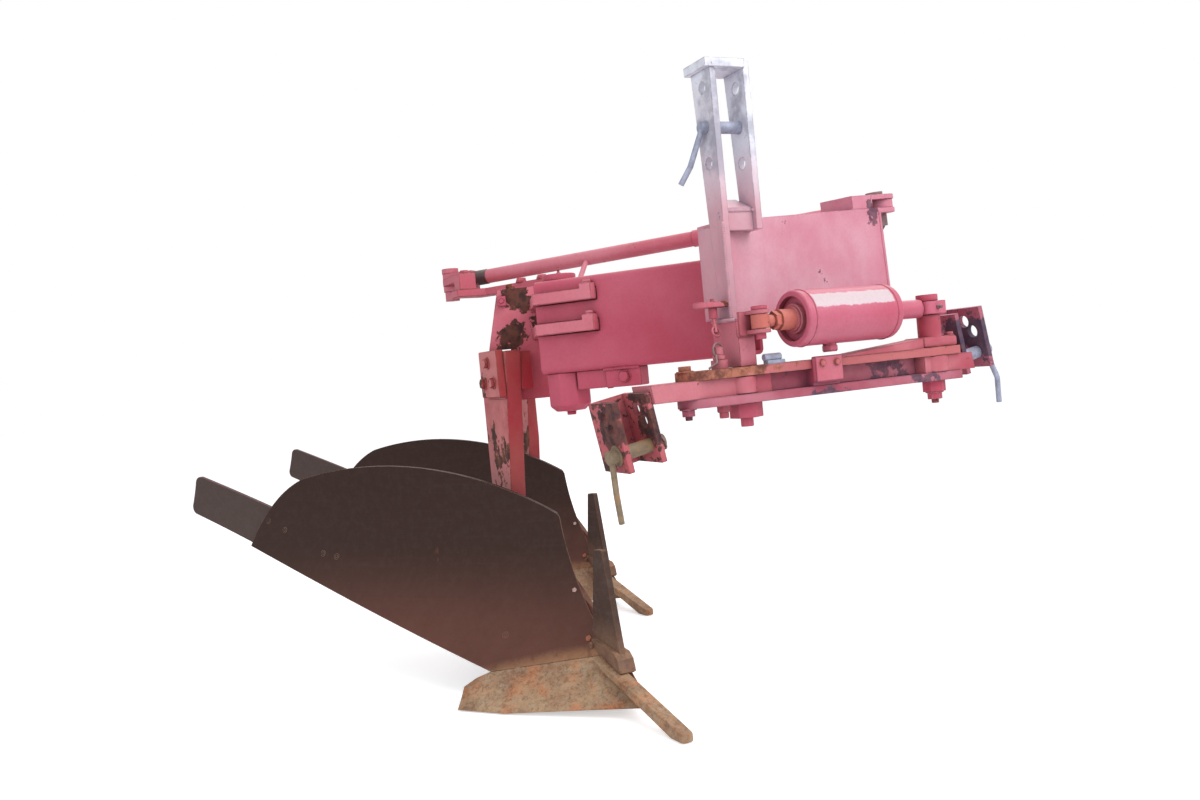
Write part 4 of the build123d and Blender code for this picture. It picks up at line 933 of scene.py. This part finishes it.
class Assembly:
    """Pieces that ride on one body together. The looks are each CAD node's finish and rounding in metres."""

    body: ClassVar[str] = "plough"
    looks: ClassVar[dict[str, tuple[Finish, float]]] = {}

    def build(self) -> None:
        """Dresses the nodes, then adds what is fixed to them."""
        for node, (finish, width) in self.looks.items():
            dressed(node, finish, width)
        self.details()

    def details(self) -> None:
        """Adds the assembly's own fasteners and beads."""
        raise NotImplementedError

    def joined(self, name: str, finish: Finish, parts: list[Piece], width: float = 0.001) -> Piece:
        """Joins some shapes into one named piece with rounded edges.

        Args:
            name: the piece's name.
            finish: what it is made of.
            parts: the shapes.
            width: how far its edges are rounded, in metres.

        Returns:
            The joined piece.
        """
        piece = united(parts)
        rounded(piece, width, 2, SHAPE_EDGE)
        return finish_piece(piece, name, self.body, finish)

    def bolts(self, name: str, finish: Finish, places: list[tuple]) -> Piece:
        """Sets fasteners and joins them into one piece.

        Args:
            name: the piece's name.
            finish: what the fasteners are made of.
            places: rows of kind, place, direction and size.

        Returns:
            The joined piece.
        """
        made = []
        for count, (kind, place, direction, size) in enumerate(places):
            copy = PATTERNS[kind].copy()
            copy.data = copy.data.copy()
            bpy.context.scene.collection.objects.link(copy)
            turned = stood_along(place, Vector(direction), FASTENER_TURN * count)
            copy.data.transform(turned @ Matrix.Scale(size, 4))
            made.append(copy)
        return finish_piece(united(made), name, self.body, finish)

    def weld(
        self, name: str, finish: Finish, runs: list[tuple[Vector, Vector]], radius: float = 0.0045
    ) -> Piece:
        """Lays weld beads along straight runs.

        Args:
            name: the piece's name.
            finish: what the beads are painted with.
            runs: the start and end of each run.
            radius: half the width of a bead.

        Returns:
            The joined piece.
        """
        made = []
        for start, end in runs:
            bpy.ops.mesh.primitive_uv_sphere_add(segments=8, ring_count=5, radius=radius)
            bead = bpy.context.object
            repeated(bead, radius * RIPPLE_STEP, (end - start).length)
            bead.data.transform(stood_along(start, (end - start).normalized()))
            made.append(bead)
        piece = united(made)
        bpy.ops.object.shade_smooth()
        return finish_piece(piece, name, self.body, finish)

    def thread(self, name: str, start: Vector, end: Vector, radius: float) -> Piece:
        """Cuts a thread over a round bar, as rings with a sharp crest.

        Args:
            name: the piece's name.
            start: where the thread begins on the axis.
            end: where it stops.
            radius: the crest's radius.

        Returns:
            The new piece.
        """
        cones = []
        for low, high, middle in ((radius, radius * THREAD_ROOT, 0.75), (radius * THREAD_ROOT, radius, 0.25)):
            bpy.ops.mesh.primitive_cone_add(
                vertices=20, radius1=low, radius2=high, depth=PITCH / 2, end_fill_type="NOTHING",
                location=(0, 0, PITCH * middle),
            )
            bpy.ops.object.transform_apply(location=True, rotation=False, scale=False)
            cones.append(bpy.context.object)
        turn = united(cones[::-1])
        repeated(turn, PITCH, (end - start).length, use_merge_vertices=True)
        turn.data.transform(stood_along(start, (end - start).normalized()))
        return finish_piece(turn, name, self.body, THREAD)


# ---------------------------------------------------------------- assemblies


@dataclass
class PloughBody(Assembly):
    """One plough body with its leg."""

    name: str
    shift: Vector
    looks = {
        "share": (SHARE, 0.0025), "mouldboard": (BOARD, 0.0022), "tailpiece": (TAIL, 0.0025),
        "chisel_point": (SHARE, 0.004), "fin": (FIN, 0.003), "frog": (FROG, 0.002),
        "landside": (LANDSIDE, 0.003), "leg": (LEG_RED, 0.004), "leg_cap": (LEG_RED, 0.003),
        "board_stay": (FROG, 0.002), "leg_block": (LEG_RED, 0.003),
    }

    def build(self) -> None:
        """Dresses the body's nodes and adds its fasteners."""
        for piece, (finish, width) in self.looks.items():
            made = dressed(f"{self.name}_{piece}", finish, width)
            if piece in ("share", "mouldboard", "tailpiece"):
                self.measure_along(made)
        self.flush_bolts()
        self.shin_chips()
        self.details()

    def spot(self, x: float, y: float, z: float) -> Vector:
        """A place at this body, from the first one's millimetres."""
        return at(x, y, z) + self.shift

    def measure_along(self, piece: Piece) -> None:
        """Stores each vertex's distance along the board and its height above the joint with the share."""
        along = piece.data.attributes.new("along_board", "FLOAT", "POINT")
        above = piece.data.attributes.new("above_joint", "FLOAT", "POINT")
        for vertex in piece.data.vertices:
            place = vertex.co - TIP - self.shift
            back = -place.x * math.cos(Board.TURN) - place.y * math.sin(Board.TURN)
            along.data[vertex.index].value = back
            above.data[vertex.index].value = place.z - JOINT_HEIGHT + (back - JOINT_FROM) * JOINT_FALL

    def flush_bolts(self) -> None:
        """Sets the square-necked bolts whose heads lie flush in share, board and landside."""
        for part, finish, size, spots in (
            ("share", SHARE, 1.1, ((455, 66), (345, 76), (240, 84))),
            ("board", BOARD, 0.8, ((520, 130), (1096, 296), (1144, 304), (1290, 366), (1352, 392))),
        ):
            places = [
                (Fastener.FLUSH, Board.place(along, z) + self.shift, Board.facing(z), size)
                for along, z in spots
            ]
            heads = self.bolts(f"{self.name}_{part}_bolts", finish, places)
            if part == "board":
                self.measure_along(heads)
        places = Fastener.FLUSH.rows((0, 1, 0), 1.0, self.spot, (-400, 2, 52), (-560, 2, 52), (-760, 2, 52))
        self.bolts(f"{self.name}_landside_bolts", LANDSIDE, places)

    def shin_chips(self) -> None:
        """Adds the pale and the rusty flake that stand up at the shin's edge."""
        for part, finish, spot, size in (
            ("pale", PALE_FLAKE, (358, 224), 6.0), ("rusty", RUSTY_FLAKE, (298, 130), 8.0)
        ):
            place = Board.place(*spot) + self.shift
            beside = place + Vector((0.004, 0.0, -0.012))
            out = Board.facing(spot[1])
            flakes = [
                column_along(place - out * 0.002, place + out * 0.0035, size, 5),
                column_along(beside - out * 0.002, beside + out * 0.002, size * 0.8, 5),
            ]
            self.joined(f"{self.name}_shin_flake_{part}", finish, flakes)

    def details(self) -> None:
        """Sets the bolts of the leg, of its cap and of the fin's foot, and lays the leg's beads."""
        places = Fastener.HEAD.rows((0, -1, 0), 0.95, self.spot, (-742, -87, 300), (-742, -87, 225))
        places += Fastener.NUT.rows(
            (0, 1, 0), 0.95, self.spot, (-742, -12, 300), (-742, -12, 225), (-600, -12, 160), (-480, -12, 120)
        )
        self.bolts(f"{self.name}_leg_bolts", STEEL, places)
        places = Fastener.HEAD.rows(
            (0, -1, 0), 0.9, self.spot, (-644, -107, 716), (-712, -107, 716), (-678, -107, 766)
        )
        self.bolts(f"{self.name}_cap_bolts", LEG_RED, places)
        places = Fastener.SMALL.rows((0, -1, 0), 1.1, self.spot, (-318, -51, 118))
        places += Fastener.SMALL.rows((0, 1, 0), 1.1, self.spot, (-318, -13, 118))
        self.bolts(f"{self.name}_fin_bolt", FIN, places)
        runs = lines(
            self.spot, (-797, -87, 270, -797, -87, 330), (-797, -47, 270, -797, -47, 330),
            (-740, -88, 678, -616, -88, 678),
        )
        self.weld(f"{self.name}_leg_welds", LEG_RED, runs)


class Frame(Assembly):
    """The carrier, the oblique beam, the headstock box and the long stay between them."""

    looks = {
        "carrier_beam": (CARRIER_RED, 0.006), "carrier_hinge_ears": (PEELED_RED, 0.003),
        "carrier_arm": (CARRIER_RED, 0.003), "main_beam": (BEAM_RED, 0.002),
        "beam_hinge_pin": (BEAM_RED, 0.003), "beam_link": (BEAM_RED, 0.003), "headstock_box": (PINK, 0.006),
        "headstock_ear": (PINK, 0.003), "headstock_stay_pin": (STEEL, 0.002),
        "stay_front_eye": (STAY_RED, 0.002), "stay_rear_fork": (STAY_RED, 0.003),
        "stay_tube": (STAY_RED, 0.0015), "stay_fork_bolt": (BOLT_RED, 0.002),
    }

    def details(self) -> None:
        """Adds what is welded and screwed to the carrier, the beam, the headstock and the stay."""
        self.carrier()
        self.beam()
        self.headstock()
        self.stay()

    def carrier(self) -> None:
        """Adds the carrier's beads, the stop on its end plate and the bolts of its arm."""
        runs = lines(
            CARRIER.at, (-1, -51, 700, -1, -51, 930), (-1, 51, 700, -1, 51, 930), (-1, -44, 936, -1, 44, 936),
            *((14, 4, z, 14, 68, z) for z in (815, 843, 886, 914)), (-124, 45, 937, -200, -44, 937),
        )
        self.weld("carrier_welds", PEELED_RED, runs)
        stop = [block(CARRIER, (12, -79, 906), (30, -58, 930))]
        stop.append(rod(CARRIER.at, (12, -68, 918, 35, -68, 918), 6, 16))
        self.joined("end_plate_stop", BEAM_RED, stop, 0.0015)
        places = Fastener.HEAD.rows(
            (0, 0, 1), 0.9, CARRIER.at, (-150, 34, 980), (-196, 30, 980), (-196, -24, 980), (-246, -28, 980)
        )
        places += Fastener.HEAD.rows((0, 0, 1), 0.9, at, (-1010, -34, 1024))
        self.bolts("arm_bolts", CARRIER_RED, places)
        face = CARRIER.way(0, -1, 0)
        places = Fastener.SMALL.rows(face, 0.9, CARRIER.at, (-430, -50, 902), (-470, -50, 902))
        self.bolts("carrier_plugs", CARRIER_RED, places)

    def beam(self) -> None:
        """Adds the bolts and beads of the hinge, the lug and the beam's front end."""
        spots = [(104, y, z) for z in (853, 924) for y in (-75, 75)]
        places = Fastener.SMALL.rows((0, 0, 1), 1.2, BEAM.at, *spots)
        places += Fastener.NIPPLE.rows((0, 0, 1), 1.3, BEAM.at, (0, 0, 958.6))
        self.bolts("hinge_bolts", PEELED_RED, places)
        places = Fastener.SMALL.rows((0, 0, -1), 1.5, BEAM.at, (0, 0, 634.5))
        places += Fastener.HEAD.rows(BEAM.way(0, -1, 0), 0.9, BEAM.at, (166, -50, 704))
        places += Fastener.NUT.rows(BEAM.way(0, 1, 0), 0.9, BEAM.at, (166, 0, 704))
        self.bolts("lug_bolts", BEAM_RED, places)
        runs = lines(BEAM.at, (118, -51, 724, 204, -51, 724), (118, 1, 724, 204, 1, 724))
        self.weld("beam_welds", BEAM_RED, runs)

    def headstock(self) -> None:
        """Adds the beads along the headstock box, and the split pin of the stay's nut."""
        runs = lines(
            HEAD.at, (-1, 618, 6, -1, 618, 196), (-8, 520, 203, -8, 600, 203), (-92, 520, 203, -92, 600, 203)
        )
        self.weld("headstock_welds", PINK, runs, 0.0035)
        middle, across = HEAD.at(-50, 686, 166), HEAD.way(0, 1, 0) * 0.036
        bent = middle + HEAD.way(-0.3, 1, -0.3) * 0.044
        self.joined("stay_pin_split_pin", THREAD, wire([middle - across, middle + across, bent], 2.4), 0.0)
        nose = [rod(HEAD.at, (-50, 686, 202.1, -50, 686, 222.5), 42, 40)]
        self.joined("headstock_ear_filler", PINK, nose)

    def stay(self) -> None:
        """Cuts the stay's threads and adds its lock nut, its collars and the bar that turns it."""
        eye, fork = HEAD.at(-50, 686, 212.3), at(-1135, -34, 1014)
        way = (fork - eye).normalized()
        front = eye + way * STAY_FRONT
        rear = fork - way * STAY_REAR
        self.thread("stay_front_thread", front - way * 0.064, front + way * 0.001, STAY_THREAD)
        self.thread("stay_rear_thread", fork - way * 0.079, rear + way * 0.001, STAY_THREAD)
        for name, finish, start, low, high, radius, sides, width in (
            ("stay_lock_nuts", STAY_RED, front, -0.019, -0.002, 23, 6, 0.0012),
            ("stay_front_collar", STAY_RED, front, -0.001, 0.024, 22.5, 24, 0.002),
            ("stay_rear_collar", THREAD, rear, -0.020, 0.012, 21.5, 24, 0.002),
        ):
            collar = column_along(start + way * low, start + way * high, radius, sides)
            self.joined(name, finish, [collar], width)
        middle = eye + way * STAY_BAR
        end = middle + Vector((0.074, -0.072, -0.084))
        tip = end + Vector((0.004, -0.002, -0.012))
        self.joined("stay_turning_bar", STAY_RED, wire([middle, end, tip], 7.0))


class Tower(Assembly):
    """The mast, its pin and the column below it."""

    looks = {
        "mast": (MAST_PINK, 0.002), "top_link_pin": (PIN, 0.0015), "column": (COLUMN_PINK, 0.003),
        "pivot_pin": (PIN_RED, 0.002), "rod_bracket": (BRACKET_PINK, 0.002), "rod_pin": (PIN_RED, 0.0015),
    }

    def details(self) -> None:
        """Adds the lug with the pin that hangs from it, the beads, and the clip of the top link's pin."""
        lug = [block(WHOLE, (-42, 132, 828), (-4, 188, 840))]
        lug.append(rod(at, (-23, 132, 828, -23, 132, 840), 19, 32))
        self.joined("lock_pin_lug", STAY_RED, lug, 0.002)
        hook = wire([at(-20, 154, 846), at(-20, 154, 812), at(-12, 150, 796), at(2, 144, 776)], 4.0)
        hook.append(rod(at, (-20, 154, 806, -20, 154, 827), 9))
        hook.append(ring(at(0, 145, 778), Vector((1, 0.3, 0.4)), 10, 2.2))
        self.joined("lock_pin_chain", BAR_RED, hook, 0.0)
        self.joined("headstock_side", MAST_PINK, [block(WHOLE, (-106, 187.5, 806), (-42, 202, 996))], 0.002)
        runs = lines(
            at, (-4, 186, 802, -4, 186, 1000), (-8, 201, 1006, -50, 201, 1006),
            (-10, 267, 1022, -54, 267, 1022), (-50, 171, 799, 34, 171, 799),
            (-15, 205, 1022, -15, 263, 1022), (-2, 200, 1309, -70, 200, 1309),
        )
        self.weld("mast_welds", MAST_PINK, runs, 0.004)
        runs = lines(at, (39, 174, 764, 39, 210, 764), (39, 171, 766, 39, 171, 800))
        self.weld("bracket_welds", BAR_RED, runs, 0.0035)
        bends = ((0, 0, 0.022), (0, 0, -0.024), (0.012, 0, -0.032), (0.016, 0, 0.004))
        clip = wire([at(-36, 290, 1196) + Vector(bend) for bend in bends], 1.9)
        self.joined("top_link_pin_clip", STEEL, clip, 0.0)


class HitchBar(Assembly):
    """The swinging bar with the two clevises and their pins."""

    body = "hitch_bar"
    looks = {
        "hitch_bar_upper_plate": (BAR_RUST, 0.002), "hitch_bar_lower_plate": (LOWER_BAR, 0.002),
        "right_clevis": (CLEVIS_RED, 0.0025), "left_clevis": (CLEVIS_VIOLET, 0.0025),
        "right_link_pin": (SANDY_PIN, 0.0015), "left_link_pin": (PIN, 0.0015),
        "bar_spacer": (LOWER_BAR, 0.002),
        "left_post": (BAR_RED, 0.002), "left_post_pin": (PIN_RED, 0.002), "right_arm": (BAR_RED, 0.002),
        "left_arm": (BAR_RED, 0.002),
    }

    def details(self) -> None:
        """Adds the bar's bolts, pins and collars."""
        self.right_end()
        self.left_end()
        self.clevises()

    def right_end(self) -> None:
        """Adds the bolts, the locking pin with its clip, and the boss between the plates."""
        self.bolts("bar_nut", LOWER_BAR, Fastener.NUT.rows((0, 0, -1), 1.0, at, (12, 58, 632)))
        self.joined("bar_pad", STAY_RED, [block(WHOLE, (57.4, 327.6, 657.6), (71.6, 396.4, 710.4))], 0.004)
        places = Fastener.HEAD.rows((0, 0, 1), 1.0, at, (12, 58, 704))
        places += Fastener.SMALL.rows((1, 0, 0), 0.9, at, (71.6, 344, 696), (71.6, 380, 696))
        self.bolts("bar_bolts", BAR_RUST, places)
        pin = [
            rod(at, (20, 134, low, 20, 134, high), radius, sides)
            for low, high, radius, sides in (
                (606, 748, 9.5, 24), (703.5, 722, 17, 24), (722, 732, 12.5, 24), (618, 633, 15, 6)
            )
        ]
        self.joined("lock_pin", BAR_RED, pin, 0.0015)
        clip = [ring(at(20, 134, 740), Vector((1.0, 0.3, 0.1)), 15, 2.2)]
        clip += wire([at(30, 122, 732), at(40, 116, 716), at(34, 100, 707)], 2.2)
        self.joined("lock_pin_clip", STEEL, clip, 0.0)
        self.joined("bar_boss", BAR_RED, [rod(at, (22, 176, 651, 22, 176, 685), 34, 40)], 0.002)
        latch = [block(WHOLE, (36, 226, 703), (54, 268, 712)), rod(at, (45, 222, 718, 45, 262, 718), 7.5, 20)]
        self.joined("bar_latch", PIN, latch, 0.0015)

    def left_end(self) -> None:
        """Adds the collar, the ramp and the boss round the left post."""
        self.joined("post_collar", BAR_RED, [block(WHOLE, (-6, 622, 703.5), (64, 716, 727))], 0.006)
        ramp = block(WHOLE, (-2, 400, 703.5), (60, 624, 725))
        for vertex in ramp.data.vertices:
            if vertex.co.z > at(0, 0, 710).z and vertex.co.y < at(0, 500, 0).y:
                vertex.co.z = at(0, 0, 706).z
        self.joined("bar_ramp", BAR_RED, [ramp], 0.0015)
        self.joined("post_boss", BAR_RED, [rod(at, (38, 658, 651, 38, 658, 685), 36.5, 40)], 0.002)
        places = Fastener.SMALL.rows((0, 0, 1), 1.1, at, (10, 704, 727), (52, 704, 727))
        places += Fastener.NUT.rows((0, 0, -1), 1.1, at, (38, 662, 608))
        self.bolts("post_bolts", BAR_RED, places)

    def clevises(self) -> None:
        """Adds the beads, washers and clips of the two clevises."""
        sides = ((RIGHT_CLEVIS, 1, (-44, 60)), (LEFT_CLEVIS, -1, (-36, -50)))
        runs = [
            line(axes.at, -30, side * 43, z, 44, side * 43, z) for axes, side, heights in sides for z in heights
        ]
        self.weld("clevis_welds", CLEVIS_RED, runs)
        washers = [rod(axes.at, (14, -side * 42, -34, 14, -side * 46, -34), 21, 28) for axes, side, _ in sides]
        self.joined("clevis_washers", SANDY_PIN, washers, 0.0008)
        clips = [ring(axes.at(14, side * 54, -34), axes.way(0, 1, 0.3), 17, 2.0) for axes, side, _ in sides]
        self.joined("link_pin_clips", STEEL, clips, 0.0)


class Ram(Assembly):
    """The hydraulic cylinder with its rod."""

    body = "barrel"
    looks = {"cylinder_barrel": (LABEL_PINK, 0.0015), "cylinder_rod": (ROD_PINK, 0.0015)}

    def details(self) -> None:
        """Adds the cylinder's seams, wiper, port and nipple."""
        way = CYLINDER.way(1, 0, 0)
        sizes = ((98, 57.2, 1.6), (316, 57.2, 1.6), (333, 21, 3.0))
        seams = [ring(CYLINDER.at(along, 0, 0), way, radius, wide, 48) for along, radius, wide in sizes]
        self.joined("barrel_seams", BARREL_PINK, seams, 0.0)
        gland = [
            rod(CYLINDER.at, (low, 0, 0, high, 0, 0), radius, 40)
            for low, high, radius in ((82, 93, 31), (78, 83, 25.5))
        ]
        self.joined("barrel_gland", BAR_RED, gland, 0.0015)
        self.joined("barrel_ports", BARREL_PINK, [rod(CYLINDER.at, (172, 0, -71, 172, 0, -60), 17, 6)])
        places = Fastener.NIPPLE.rows(CYLINDER.way(0, -1, 0), 1.1, CYLINDER.at, (457, -30, 0))
        self.bolts("barrel_nipple", STEEL, places)


# ---------------------------------------------------------------- studio


@dataclass
class Studio:
    """The pale floor, the soft light and the camera at the photograph's angle.

    The camera looks aside and down and is rolled by these degrees; the lamps are rows of place, size in
    metres and power in watts, and all of them face the aim.
    """

    lens: float = 31.5
    sensor: float = 36.0
    aside: float = 25.0
    down: float = 1.85
    roll: float = 5.5
    stand: tuple[float, float, float] = (1806.0, -967.0, 733.0)
    world_light: float = 0.62
    floor_lift: float = 0.5
    floor_size: float = 120.0
    floor_drop: float = 0.001
    aim: tuple[float, float, float] = (0, 0, 0.5)
    lights: tuple = (
        ((3.0, 1.2, 3.2), 3.0, 88.0), ((-1.5, 2.0, 4.2), 4.0, 55.0), ((2.6, -3.2, 1.6), 2.5, 22.0)
    )

    def build(self) -> None:
        """Makes the floor, the world, the lamps and the camera."""
        self.floor()
        self.world()
        self.lamps()
        self.camera()

    def camera(self) -> None:
        """Stands the camera where the photographer stood, tilted and rolled as they held it."""
        turn, pitch, roll = (math.radians(v) for v in (self.aside, self.down, self.roll))
        look = Vector((-math.cos(turn) * math.cos(pitch), math.sin(turn) * math.cos(pitch), -math.sin(pitch)))
        right = Vector((math.sin(turn), math.cos(turn), 0.0))
        up = right.cross(look)
        side = math.cos(roll) * right - math.sin(roll) * up
        top = math.sin(roll) * right + math.cos(roll) * up
        bpy.ops.object.camera_add()
        made = bpy.context.object
        made.data.lens = self.lens
        made.data.sensor_width = self.sensor
        facing = Matrix((side, top, -look)).transposed().to_4x4()
        made.matrix_world = Matrix.Translation(at(*self.stand)) @ facing
        bpy.context.scene.camera = made

    def floor(self) -> None:
        """Lays a plain white floor that keeps soft shadows, and that the camera sees a little brighter."""
        bpy.ops.mesh.primitive_grid_add(
            x_subdivisions=8, y_subdivisions=8, size=self.floor_size, location=(0, 0, -self.floor_drop)
        )
        made = bpy.context.object
        made.name = "floor"
        material = bpy.data.materials.new("floor_white")
        material.use_nodes = True
        nodes = Nodes(material.node_tree)
        seen = nodes.times(nodes.add("LightPath").outputs["Is Camera Ray"], self.floor_lift)
        values = {"Base Color": (0.93, 0.93, 0.93, 1.0), "Roughness": 0.95, "Specular IOR Level": 0.0}
        values |= {"Emission Color": (1.0, 1.0, 1.0, 1.0), "Emission Strength": seen}
        nodes.feed(material.node_tree.nodes["Principled BSDF"], values)
        made.data.materials.append(material)

    def world(self) -> None:
        """Lights the scene from all round, and shows white behind it."""
        world = bpy.data.worlds.new("white_sky")
        bpy.context.scene.world = world
        world.use_nodes = True
        world.node_tree.nodes.clear()
        nodes = Nodes(world.node_tree)
        rays = nodes.add("LightPath").outputs
        seen = nodes.most(rays["Is Glossy Ray"], rays["Is Transmission Ray"], rays["Is Camera Ray"])
        light = nodes.add("Background", {"Color": (0.94, 0.97, 1.0, 1.0), "Strength": self.world_light})
        white = nodes.add("Background", {"Color": (1.0, 1.0, 1.0, 1.0), "Strength": 1.0})
        both = nodes.add("MixShader", {0: seen, 1: light.outputs[0], 2: white.outputs[0]})
        nodes.add("OutputWorld", {"Surface": both.outputs[0]})

    def lamps(self) -> None:
        """Hangs a broad lamp above, one behind and a weaker one beside the camera."""
        for place, size, power in self.lights:
            bpy.ops.object.light_add(type="AREA", location=place)
            lamp = bpy.context.object
            lamp.data.size = size
            lamp.data.energy = power
            lamp.rotation_euler = (Vector(self.aim) - Vector(place)).to_track_quat("-Z", "Y").to_euler()


def main() -> None:
    """Builds the studio and every assembly."""
    logging.basicConfig(level=logging.INFO, format="%(name)s: %(message)s")
    bpy.context.scene.view_settings.view_transform = "Standard"
    bpy.ops.object.select_all(action="DESELECT")
    Studio().build()
    PATTERNS.update({kind: kind.build() for kind in Fastener})
    for name, shift in (("first", Vector()), ("second", BODY_STEP)):
        PloughBody(name, shift).build()
    for assembly in (Frame(), Tower(), HitchBar(), Ram()):
        assembly.build()
    for pattern in PATTERNS.values():
        bpy.data.objects.remove(pattern)


if __name__ == "__main__":
    main()
